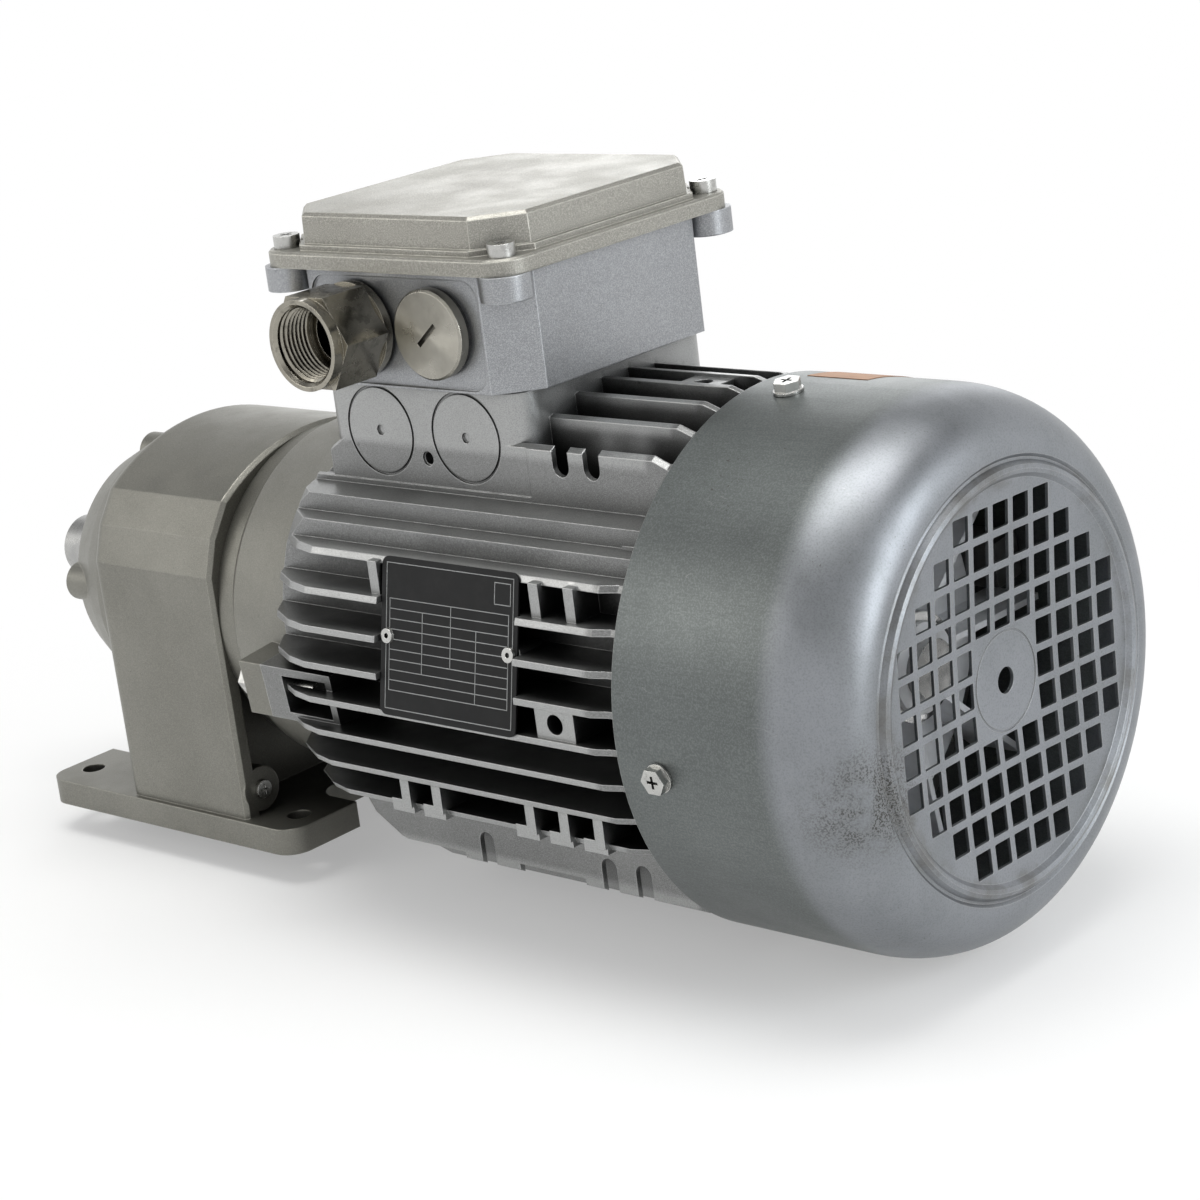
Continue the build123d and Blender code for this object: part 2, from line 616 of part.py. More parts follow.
with BuildPart() as motor_pinion:
    teeth(GEAR_1_START - PINION_OVERLAP, GEAR_1_WIDTH + 2 * PINION_OVERLAP, STAGE_1_MODULE, PINION_1_TEETH,
          COUNTERSHAFT_DIRECTION)
    post(GEAR_1_START, ROTOR_SHAFT_START + PINION_SHANK - GEAR_1_START, PINION_SHANK_RADIUS)
save(motor_pinion, "motor_pinion")

with BuildPart() as rotor_bearing_inners:
    race(DRIVE_BEARING_START, BEARING_6205, True)
    race(FAN_BEARING_START, BEARING_6205, True)
save(rotor_bearing_inners, "rotor_bearing_inners")

with BuildPart() as rotor_bearing_outers:
    race(DRIVE_BEARING_START, BEARING_6205, False)
    race(FAN_BEARING_START, BEARING_6205, False)
save(rotor_bearing_outers, "rotor_bearing_outers")

with BuildPart() as rotor_bearing_balls:
    balls(DRIVE_BEARING_START, BEARING_6205)
    balls(FAN_BEARING_START, BEARING_6205)
save(rotor_bearing_balls, "rotor_bearing_balls")

with BuildPart() as fan:
    fan_end = FAN_START + FAN_LENGTH
    turn([
        (FAN_START, FAN_SEAT_RADIUS), (FAN_START, 20), (FAN_START + 4, 24), (FAN_START + 4, 62),
        (FAN_START + 6, 62), (FAN_START + 6, 26), (fan_end - 14, 16), (fan_end - 12, 15), (fan_end, 15),
        (fan_end, FAN_SEAT_RADIUS),
    ])
    with BuildSketch(across(FAN_START + 4)) as blades:
        with PolarLocations((FAN_RADIUS + 20) / 2, FAN_BLADES):
            Rectangle(FAN_RADIUS - 20, FAN_BLADE_THICKNESS)
    extrude(blades.sketch, amount=FAN_LENGTH - 12)
save(fan, "fan")

with BuildPart() as fan_clamp_ring:
    ring(fan_end - 5, 3, 15, 18)
    with BuildSketch(across(fan_end - 5)) as split:
        with Locations((16, 0)):
            Rectangle(10, 2)
    extrude(split.sketch, amount=3, mode=Mode.SUBTRACT)
save(fan_clamp_ring, "fan_clamp_ring")

# Stator: laminated core and windings inside the finned frame
with BuildPart() as stator_core:
    ring(CORE_START, CORE_LENGTH, ROTOR_CORE_RADIUS + AIR_GAP, BARREL_BORE)
    with BuildSketch(across(CORE_START)) as slots:
        with PolarLocations(49, SLOTS):
            Rectangle(12, 6)
    extrude(slots.sketch, amount=CORE_LENGTH, mode=Mode.SUBTRACT)
save(stator_core, "stator_core")

with BuildPart() as stator_windings:
    with BuildSketch(across(CORE_START)) as coils:
        with PolarLocations(49, SLOTS):
            Rectangle(12, 6)
    extrude(coils.sketch, amount=CORE_LENGTH)
    for station in (CORE_START - WINDING_OVERHANG, core_end):
        ring(station, WINDING_OVERHANG, 42, 60)
save(stator_windings, "stator_windings")

with BuildPart() as stator_frame:
    length = FRAME_END - FRAME_START
    reach = FIN_TIP_RADIUS - 44
    base_start = BOX_STATION - BASE_LENGTH / 2
    rows = [SIDE_FIN_PITCH * (step - 3.5) for step in range(8)]
    columns = [TOP_FIN_PITCH * (step - 3.5) for step in range(8)]
    with BuildSketch(across(FRAME_START)) as fins:
        with Locations(*[(side * (44 + reach / 2), z) for side in (-1, 1) for z in rows]):
            Rectangle(reach, FIN_THICKNESS)
        with Locations(*[(y, side * (44 + reach / 2)) for side in (-1, 1) for y in columns]):
            Rectangle(FIN_THICKNESS, reach)
        for out, up in LEDGES:
            with Locations((-out / 2, up / 2), (out / 2, up / 2)):
                Rectangle(out, up)
    extrude(fins.sketch, amount=length)
    turn([
        (FRAME_START, 0), (FRAME_START, 72), (FRAME_START + 8, 82), (FRAME_START + 20, 88),
        (FRAME_START + 30, FIN_TIP_RADIUS), (FIN_STEP_START, FIN_TIP_RADIUS), (FIN_STEP_END, FIN_TIP_IN_COVER),
        (FRAME_END, FIN_TIP_IN_COVER), (FRAME_END, 0),
    ], mode=Mode.INTERSECT)
    ring(FRAME_START, length, BARREL_BORE - 1, BARREL_RADIUS)
    seats = [outward(PAD_STATION, BARREL_RADIUS - 3, angle) for angle in (0, 90, 180, 270)]
    with BuildSketch(*seats) as pads:
        Rectangle(PAD_LENGTH, PAD_WIDTH)
    extrude(pads.sketch, amount=PAD_FACE - BARREL_RADIUS + 3)
    seats = [outward(FRAME_START + EAR_LENGTH / 2, BARREL_RADIUS - 3, angle) for angle in BOLT_ANGLES]
    with BuildSketch(*seats) as ears:
        Rectangle(EAR_LENGTH, EAR_WIDTH)
    extrude(ears.sketch, amount=EAR_TIP - BARREL_RADIUS + 3)
    with BuildSketch(level(BASE_FOOT, BOX_STATION)) as base:
        RectangleRounded(BASE_LENGTH, BASE_WIDTH, BASE_CORNER)
    extrude(base.sketch, amount=BASE_TOP - BASE_FOOT)
    post(FRAME_START, length, BARREL_BORE, mode=Mode.SUBTRACT)
    with BuildSketch(level(BASE_TOP, BOX_STATION)) as pocket:
        RectangleRounded(68, 62, 6)
    extrude(pocket.sketch, amount=-(BASE_TOP - BARREL_RADIUS - 5), mode=Mode.SUBTRACT)
    with BuildSketch(level(BASE_TOP, FRAME_START + 25)) as passage:
        RectangleRounded(10, 30, 4)
    extrude(passage.sketch, amount=-(BASE_TOP - 55), mode=Mode.SUBTRACT)
    with Locations(level(BASE_TOP, BOX_STATION)):
        with GridLocations(BASE_SCREWS, BASE_SCREWS, 2, 2):
            Hole(2.1, 16)
    ear_pockets = [outward(FRAME_START + 21, EAR_TIP, angle) for angle in BOLT_ANGLES]
    with BuildSketch(*ear_pockets) as pockets:
        Rectangle(22, EAR_WIDTH - 6)
    extrude(pockets.sketch, amount=-11, mode=Mode.SUBTRACT)
    with BuildSketch(across(FRAME_START)) as bolt_holes:
        with Locations(*[on_circle(BOLT_CIRCLE_RADIUS, angle) for angle in BOLT_ANGLES]):
            Circle(3)
    extrude(bolt_holes.sketch, amount=20, mode=Mode.SUBTRACT)
    pad_holes = [outward(PAD_STATION, PAD_FACE, angle) for angle in (0, 90, 180, 270)]
    with BuildSketch(*pad_holes) as holes:
        Circle(PAD_HOLE_RADIUS)
    extrude(holes.sketch, amount=-PAD_HOLE_DEPTH, mode=Mode.SUBTRACT)
    near_wall = Plane(origin=(BOX_STATION, -BASE_WIDTH / 2, SHAFT_HEIGHT), x_dir=(1, 0, 0), z_dir=(0, -1, 0))
    knockouts = [(-KNOCKOUT_SPACING / 2, KNOCKOUT_HEIGHT), (KNOCKOUT_SPACING / 2, KNOCKOUT_HEIGHT)]
    with BuildSketch(near_wall) as discs:
        with Locations(*knockouts):
            Circle(KNOCKOUT_RADIUS)
            Circle(KNOCKOUT_RADIUS - 1, mode=Mode.SUBTRACT)
            Circle(1.8)
        with Locations((1, KNOCKOUT_HEIGHT - 8.5)):
            Circle(2.5)
    extrude(discs.sketch, amount=-0.8, mode=Mode.SUBTRACT)
    with BuildSketch(near_wall) as earth_hole:
        with Locations((1, KNOCKOUT_HEIGHT - 8.5)):
            Circle(2.1)
    extrude(earth_hole.sketch, amount=-9, mode=Mode.SUBTRACT)
    # Notches in the outermost blades, which end clear of the base for the terminal box
    for face in (-43, 55):
        with BuildSketch(Plane(origin=(0, face, SHAFT_HEIGHT), x_dir=(1, 0, 0), z_dir=(0, -1, 0))) as blade_cuts:
            with Locations(*[(station, -NOTCH_DOWN) for station in LOWER_NOTCHES]):
                SlotOverall(NOTCH_LENGTH, FIN_NOTCH, rotation=90)
            with Locations(*[(station, NOTCH_UP) for station in UPPER_NOTCHES]):
                SlotOverall(NOTCH_LENGTH, FIN_NOTCH, rotation=90)
            for start, end in LOWER_RECESSES:
                with Locations(((start + end) / 2, -78)):
                    Rectangle(end - start, 7.4)
            with Locations(((FRAME_START + base_start) / 2, (BASE_CLEAR + FIN_TIP_RADIUS) / 2 + 2)):
                Rectangle(base_start - FRAME_START, FIN_TIP_RADIUS - BASE_CLEAR + 4)
        extrude(blade_cuts.sketch, amount=12, mode=Mode.SUBTRACT)
    for side in (-1, 1):
        with BuildSketch(level(BASE_CLEAR, BOX_STATION)) as base_front:
            with Locations((0, side * (BASE_WIDTH / 2 + 2))):
                Rectangle(BASE_LENGTH + 1, 4)
        extrude(base_front.sketch, amount=BASE_TOP - BASE_CLEAR, mode=Mode.SUBTRACT)
    # Ejector posts between the two outer side fins, with tabs under the lowest
    for height in (-3.5 * SIDE_FIN_PITCH, 2.5 * SIDE_FIN_PITCH):
        with BuildSketch(level(height, 0)) as posts:
            with Locations(*[(station, side * 75.5) for station in FIN_POSTS for side in (-1, 1)]):
                Rectangle(4, 13)
        extrude(posts.sketch, amount=SIDE_FIN_PITCH)
    with BuildSketch(level(-3.5 * SIDE_FIN_PITCH - 2.2, 0)) as tabs:
        with Locations(*[(station - 3, side * 75) for station in FIN_POSTS for side in (-1, 1)]):
            Rectangle(10, 12)
    extrude(tabs.sketch, amount=4.4)
    # Flat cut across the fins for the nameplate
    plate_out = (-cos(radians(PLATE_TILT)), sin(radians(PLATE_TILT)))
    plate_seat = Plane(
        origin=(PLATE_STATION, -PLATE_OUT, SHAFT_HEIGHT + PLATE_UP),
        x_dir=(1, 0, 0), z_dir=(0, *plate_out),
    )
    with BuildSketch(plate_seat) as flat:
        Rectangle(PLATE_LENGTH + 1, PLATE_HEIGHT + 1)
    extrude(flat.sketch, amount=14, mode=Mode.SUBTRACT)
    with BuildSketch(plate_seat) as bosses:
        with Locations((-RIVET_SPACING / 2, 0), (RIVET_SPACING / 2, 0)):
            Circle(4)
    extrude(bosses.sketch, amount=-16)
    with BuildSketch(plate_seat) as rivet_holes:
        with Locations((-RIVET_SPACING / 2, 0), (RIVET_SPACING / 2, 0)):
            Circle(RIVET_RADIUS)
    extrude(rivet_holes.sketch, amount=-8, mode=Mode.SUBTRACT)
    fan_screw_points = [on_circle(75, angle + 45) for angle in BOLT_ANGLES]
    with BuildSketch(across(FRAME_END)) as corner_bosses:
        with Locations(*fan_screw_points):
            Circle(6.5)
    extrude(corner_bosses.sketch, amount=-18)
    with BuildSketch(across(FRAME_END)) as screw_holes:
        with Locations(*fan_screw_points):
            Circle(2.5)
    extrude(screw_holes.sketch, amount=-14, mode=Mode.SUBTRACT)
    post(FRAME_START, length, BARREL_BORE, mode=Mode.SUBTRACT)
save(stator_frame, "stator_frame")

with BuildPart() as nameplate:
    with BuildSketch(plate_seat):
        RectangleRounded(PLATE_LENGTH, PLATE_HEIGHT, 3)
        with Locations((-RIVET_SPACING / 2, 0), (RIVET_SPACING / 2, 0)):
            Circle(RIVET_RADIUS, mode=Mode.SUBTRACT)
    extrude(amount=PLATE_THICKNESS)
save(nameplate, "nameplate")

with BuildPart() as nameplate_rivets:
    with BuildSketch(plate_seat.offset(PLATE_THICKNESS)):
        with Locations((-RIVET_SPACING / 2, 0), (RIVET_SPACING / 2, 0)):
            Circle(2.8)
    extrude(amount=1.1, taper=18)
    with BuildSketch(plate_seat.offset(PLATE_THICKNESS)):
        with Locations((-RIVET_SPACING / 2, 0), (RIVET_SPACING / 2, 0)):
            Circle(RIVET_RADIUS)
    extrude(amount=-PLATE_THICKNESS - 8)
    with BuildSketch(plate_seat.offset(PLATE_THICKNESS + 1.1)):
        with Locations((-RIVET_SPACING / 2, 0), (RIVET_SPACING / 2, 0)):
            Circle(0.9)
    extrude(amount=-3, mode=Mode.SUBTRACT)
save(nameplate_rivets, "nameplate_rivets")

# Terminal box, lid, gaskets and screws
box_centre = level(BOX_FLOOR, BOX_STATION)
boss_seats = level(BOX_TOP, BOX_STATION)


def chamfered_square(size, corner):
    """Square with its corners cut off, in the current sketch."""
    square = Rectangle(size, size)
    chamfer(square.vertices(), corner)


with BuildPart() as terminal_box:
    with BuildSketch(box_centre):
        chamfered_square(BOX_SIZE, BOX_CHAMFER)
    extrude(amount=BOX_TOP - GASKET - BOX_FLOOR)
    with BuildSketch(boss_seats):
        with GridLocations(LID_SCREWS, LID_SCREWS, 2, 2):
            RectangleRounded(2 * BOX_BOSS_RADIUS, 2 * BOX_BOSS_RADIUS, BOX_BOSS_RADIUS - 0.5)
    extrude(amount=-BOX_BOSS_HEIGHT)
    with BuildSketch(level(BOX_FLOOR + BOX_WALL, BOX_STATION)):
        chamfered_square(BOX_SIZE - 2 * BOX_WALL, BOX_CHAMFER + 3)
    extrude(amount=BOX_TOP - BOX_FLOOR, mode=Mode.SUBTRACT)
    with BuildSketch(box_centre):
        RectangleRounded(60, 56, 6)
    extrude(amount=BOX_WALL, mode=Mode.SUBTRACT)
    near_side = Plane(origin=(BOX_STATION, BOX_SIDE, SHAFT_HEIGHT), x_dir=(1, 0, 0), z_dir=(0, -1, 0))
    with BuildSketch(near_side) as panel:
        with Locations((0, (BOX_FLOOR + BOX_TOP) / 2 - 1)):
            RectangleRounded(BOX_SIZE - 2 * BOX_CHAMFER - 2, 37, 7)
    extrude(panel.sketch, amount=-1, mode=Mode.SUBTRACT)
    with BuildSketch(near_side) as entries:
        with Locations((-ENTRY_SPACING / 2, ENTRY_HEIGHT), (ENTRY_SPACING / 2, ENTRY_HEIGHT)):
            Circle(ENTRY_THREAD_RADIUS)
    extrude(entries.sketch, amount=-BOX_WALL - 1, mode=Mode.SUBTRACT)
    with Locations(level(BOX_FLOOR + BOX_WALL, BOX_STATION)):
        with GridLocations(BASE_SCREWS, BASE_SCREWS, 2, 2):
            Hole(2.6, BOX_WALL)
    with Locations(boss_seats):
        with GridLocations(LID_SCREWS, LID_SCREWS, 2, 2):
            Hole(2.5, BOX_BOSS_HEIGHT - 0.5)
save(terminal_box, "terminal_box")

with BuildPart() as base_gasket:
    with BuildSketch(level(BASE_TOP, BOX_STATION)):
        RectangleRounded(BASE_LENGTH - 2, BASE_WIDTH - 2, BASE_CORNER)
        RectangleRounded(68, 62, 6, mode=Mode.SUBTRACT)
        with GridLocations(BASE_SCREWS, BASE_SCREWS, 2, 2):
            Circle(2.6, mode=Mode.SUBTRACT)
    extrude(amount=GASKET)
save(base_gasket, "base_gasket")

with BuildPart() as box_screws:
    seats = [level(BOX_FLOOR + BOX_WALL, BOX_STATION + x).shift_origin(
        (BOX_STATION + x, y, SHAFT_HEIGHT + BOX_FLOOR + BOX_WALL))
        for x in (-BASE_SCREWS / 2, BASE_SCREWS / 2) for y in (-BASE_SCREWS / 2, BASE_SCREWS / 2)]
    cap_screws(seats, 4, 3, 2.1, BOX_WALL + GASKET + 14)
save(box_screws, "box_screws")

with BuildPart() as lid_gasket:
    with BuildSketch(level(BOX_TOP - GASKET, BOX_STATION)):
        chamfered_square(BOX_SIZE, BOX_CHAMFER)
        with BuildSketch(mode=Mode.SUBTRACT):
            chamfered_square(BOX_SIZE - 2 * BOX_WALL, BOX_CHAMFER + 3)
        with GridLocations(LID_SCREWS, LID_SCREWS, 2, 2):
            RectangleRounded(2 * BOX_BOSS_RADIUS, 2 * BOX_BOSS_RADIUS, BOX_BOSS_RADIUS - 0.5,
                             mode=Mode.SUBTRACT)
    extrude(amount=GASKET)
save(lid_gasket, "lid_gasket")

with BuildPart() as terminal_box_lid:
    with BuildSketch(boss_seats):
        RectangleRounded(LID_SIZE, LID_SIZE, LID_CORNER)
    extrude(amount=LID_FLANGE)
    chamfer(terminal_box_lid.faces().sort_by(Axis.Z)[-1].edges(), 0.8)
    with BuildSketch(level(BOX_TOP + LID_FLANGE, BOX_STATION)):
        chamfered_square(LID_RAISED + 4, LID_RAISED_CHAMFER + 1.5)
    extrude(amount=LID_STEP)
    with BuildSketch(level(BOX_TOP + LID_FLANGE, BOX_STATION)) as raised:
        chamfered_square(LID_RAISED, LID_RAISED_CHAMFER)
    extrude(raised.sketch, amount=LID_HEIGHT - LID_FLANGE, taper=2)
    chamfer(terminal_box_lid.faces().sort_by(Axis.Z)[-1].edges(), 1.2)
    with BuildSketch(boss_seats) as hollow:
        chamfered_square(BOX_SIZE - 2 * BOX_WALL - 2, BOX_CHAMFER + 3)
    extrude(hollow.sketch, amount=LID_HEIGHT - LID_WALL, taper=3, mode=Mode.SUBTRACT)
    with Locations(level(BOX_TOP + LID_FLANGE, BOX_STATION)):
        with GridLocations(LID_SCREWS, LID_SCREWS, 2, 2):
            Hole(2.7, LID_FLANGE)
    with BuildSketch(level(BOX_TOP + LID_FLANGE, BOX_STATION)) as spot_faces:
        with GridLocations(LID_SCREWS, LID_SCREWS, 2, 2):
            Circle(5.6)
    extrude(spot_faces.sketch, amount=LID_STEP, mode=Mode.SUBTRACT)
save(terminal_box_lid, "terminal_box_lid")

with BuildPart() as lid_screws:
    seat_height = SHAFT_HEIGHT + BOX_TOP + LID_FLANGE
    seats = [Plane(origin=(BOX_STATION + x, y, seat_height))
             for x in (-LID_SCREWS / 2, LID_SCREWS / 2) for y in (-LID_SCREWS / 2, LID_SCREWS / 2)]
    cap_screws(seats, 4.6, 4.4, 2.5, LID_FLANGE + BOX_BOSS_HEIGHT - 1)
save(lid_screws, "lid_screws")

# Terminal block with its studs and nuts
block_floor = BOX_FLOOR + BOX_WALL
stud_points = [(STUD_PITCH * column, row * STUD_ROWS / 2) for column in (-1, 0, 1) for row in (-1, 1)]
with BuildPart() as terminal_block:
    with BuildSketch(level(block_floor, BOX_STATION)):
        with Locations((-34, 0), (34, 0)):
            Circle(5)
    extrude(amount=4)
    with BuildSketch(level(block_floor + 4, BOX_STATION)):
        RectangleRounded(BLOCK_LENGTH + 14, BLOCK_WIDTH, 4)
    extrude(amount=BLOCK_HEIGHT - 4)
    with BuildSketch(level(block_floor + BLOCK_HEIGHT, BOX_STATION)):
        with Locations((-STUD_PITCH / 2, 0), (STUD_PITCH / 2, 0)):
            Rectangle(1.6, BLOCK_WIDTH)
    extrude(amount=5)
    with BuildSketch(level(block_floor + BLOCK_HEIGHT, BOX_STATION)) as stud_holes:
        with Locations(*stud_points):
            Circle(STUD_RADIUS)
        with Locations((-34, 0), (34, 0)):
            Circle(2.1)
    extrude(stud_holes.sketch, amount=-BLOCK_HEIGHT, mode=Mode.SUBTRACT)
save(terminal_block, "terminal_block")

with BuildPart() as terminal_block_screws:
    seats = [level(block_floor + BLOCK_HEIGHT, BOX_STATION + side * 34) for side in (-1, 1)]
    cap_screws(seats, 3.8, 2.6, 2.1, BLOCK_HEIGHT)
save(terminal_block_screws, "terminal_block_screws")

with BuildPart() as terminal_studs:
    with BuildSketch(level(block_floor + 4, BOX_STATION)):
        with Locations(*stud_points):
            Circle(STUD_RADIUS)
    extrude(amount=BLOCK_HEIGHT + 8)
save(terminal_studs, "terminal_studs")

with BuildPart() as terminal_nuts:
    for height in (BLOCK_HEIGHT, BLOCK_HEIGHT + 5):
        with BuildSketch(level(block_floor + height, BOX_STATION)) as nuts:
            with Locations(*stud_points):
                RegularPolygon(4, 6, major_radius=False)
                Circle(STUD_RADIUS, mode=Mode.SUBTRACT)
        extrude(nuts.sketch, amount=3.8)
save(terminal_nuts, "terminal_nuts")

with BuildPart() as terminal_links:
    with BuildSketch(level(block_floor + BLOCK_HEIGHT + 3.8, BOX_STATION)):
        with Locations(*[(STUD_PITCH * column, 0) for column in (-1, 0, 1)]):
            SlotOverall(STUD_ROWS + 9, 9, rotation=90)
        with Locations(*stud_points):
            Circle(STUD_RADIUS, mode=Mode.SUBTRACT)
    extrude(amount=1.2)
save(terminal_links, "terminal_links")

# Conduit adapter and blank plug in the two cable entries, each on a seal ring
entry_floor = BOX_SIDE + 1
with BuildPart() as conduit_adapter:
    seat = Plane(origin=(ENTRIES[0], entry_floor - 1.5, SHAFT_HEIGHT + ENTRY_HEIGHT), x_dir=(1, 0, 0),
                 z_dir=(0, -1, 0))
    with BuildSketch(seat) as collar:
        Circle(ADAPTER_COLLAR)
    extrude(collar.sketch, amount=3)
    with BuildSketch(seat.offset(3)) as hexagon:
        RegularPolygon(ADAPTER_FLATS / 2, 6, major_radius=False)
    extrude(hexagon.sketch, amount=ADAPTER_LENGTH - 7)
    with BuildSketch(seat.offset(3)) as barrel:
        Circle(ADAPTER_FLATS / 2)
    extrude(barrel.sketch, amount=ADAPTER_LENGTH - 3)
    with BuildSketch(seat) as thread:
        Circle(ENTRY_THREAD_RADIUS)
    extrude(thread.sketch, amount=-10)
    with BuildSketch(seat.offset(ADAPTER_LENGTH)) as bore:
        Circle(ADAPTER_BORE)
    extrude(bore.sketch, amount=-ADAPTER_BORE_DEPTH, mode=Mode.SUBTRACT)
    with BuildSketch(seat) as passage:
        Circle(ADAPTER_PASSAGE)
    extrude(passage.sketch, amount=ADAPTER_LENGTH, mode=Mode.SUBTRACT)
    extrude(passage.sketch, amount=-10, mode=Mode.SUBTRACT)
    with BuildSketch(seat.offset(ADAPTER_LENGTH)) as mouth:
        Circle(ADAPTER_BORE + 1.2)
    extrude(mouth.sketch, amount=-1.2, taper=45, mode=Mode.SUBTRACT)
save(conduit_adapter, "conduit_adapter")

with BuildPart() as blank_plug:
    seat = Plane(origin=(ENTRIES[1], entry_floor - 1.5, SHAFT_HEIGHT + ENTRY_HEIGHT), x_dir=(1, 0, 0),
                 z_dir=(0, -1, 0))
    with BuildSketch(seat) as head:
        Circle(15.3)
    extrude(head.sketch, amount=4)
    chamfer(blank_plug.faces().sort_by(Axis.Y)[0].edges(), 0.8)
    with BuildSketch(seat) as thread:
        Circle(ENTRY_THREAD_RADIUS)
    extrude(thread.sketch, amount=-9)
    with BuildSketch(seat.offset(4)) as slot:
        Rectangle(11, 1.8, rotation=40)
    extrude(slot.sketch, amount=-2, mode=Mode.SUBTRACT)
save(blank_plug, "blank_plug")

with BuildPart() as entry_seals:
    for entry in ENTRIES:
        seat = Plane(origin=(entry, entry_floor, SHAFT_HEIGHT + ENTRY_HEIGHT), x_dir=(1, 0, 0), z_dir=(0, -1, 0))
        with BuildSketch(seat) as seal:
            Circle(15)
            Circle(ENTRY_THREAD_RADIUS, mode=Mode.SUBTRACT)
        extrude(seal.sketch, amount=1.5)
save(entry_seals, "entry_seals")

with BuildPart() as earth_screw:
    seat = Plane(origin=(BOX_STATION + 1, -BASE_WIDTH / 2 + 0.8, SHAFT_HEIGHT + KNOCKOUT_HEIGHT - 8.5),
                 x_dir=(1, 0, 0), z_dir=(0, -1, 0))
    with BuildSketch(seat.offset(-3)) as grub:
        Circle(2.1)
    extrude(grub.sketch, amount=-5)
save(earth_screw, "earth_grub_screw")

# Fan-end shield, fan cover and their screws
with BuildPart() as fan_end_shield:
    turn([
        (FRAME_END, BARREL_BORE), (FRAME_END, FIN_TIP_IN_COVER - 4), (SHIELD_BACK, FIN_TIP_IN_COVER - 4),
        (SHIELD_BACK, 40), (fan_bearing_end + 4, 32), (fan_bearing_end + 4, FAN_SEAT_RADIUS + 0.6),
        (fan_bearing_end, FAN_SEAT_RADIUS + 0.6), (fan_bearing_end, BEARING_6205[1]),
        (FAN_BEARING_START, BEARING_6205[1]), (FAN_BEARING_START, BEARING_6205[1] + 6),
        (fan_bearing_end - 6, BEARING_6205[1] + 6), (fan_bearing_end - 2, 44),
        (FRAME_END - 4, BARREL_BORE - 4), (FRAME_END - 4, BARREL_BORE),
    ])
    seats = [outward(FRAME_END + SHIELD_LUG / 2, 76, angle) for angle in BOLT_ANGLES]
    with BuildSketch(*seats) as lugs:
        Rectangle(SHIELD_LUG, 16)
    extrude(lugs.sketch, amount=COVER_RADIUS - COVER_SHEET - 76 - 0.4)
    seats = [outward(COVER_SCREW_STATION, COVER_RADIUS, angle) for angle in BOLT_ANGLES]
    with BuildSketch(*seats) as holes:
        Circle(COVER_SCREW_RADIUS)
    extrude(holes.sketch, amount=-12, mode=Mode.SUBTRACT)
    with BuildSketch(across(FRAME_END)) as screw_holes:
        with Locations(*fan_screw_points):
            Circle(2.7)
    extrude(screw_holes.sketch, amount=SHIELD_THICKNESS, mode=Mode.SUBTRACT)
save(fan_end_shield, "fan_end_shield")

with BuildPart() as fan_end_screws:
    seats = [across(SHIELD_BACK, point) for point in fan_screw_points]
    hex_screws(seats, 8, 3.5, 2.5, SHIELD_THICKNESS + 14)
save(fan_end_screws, "fan_end_screws")

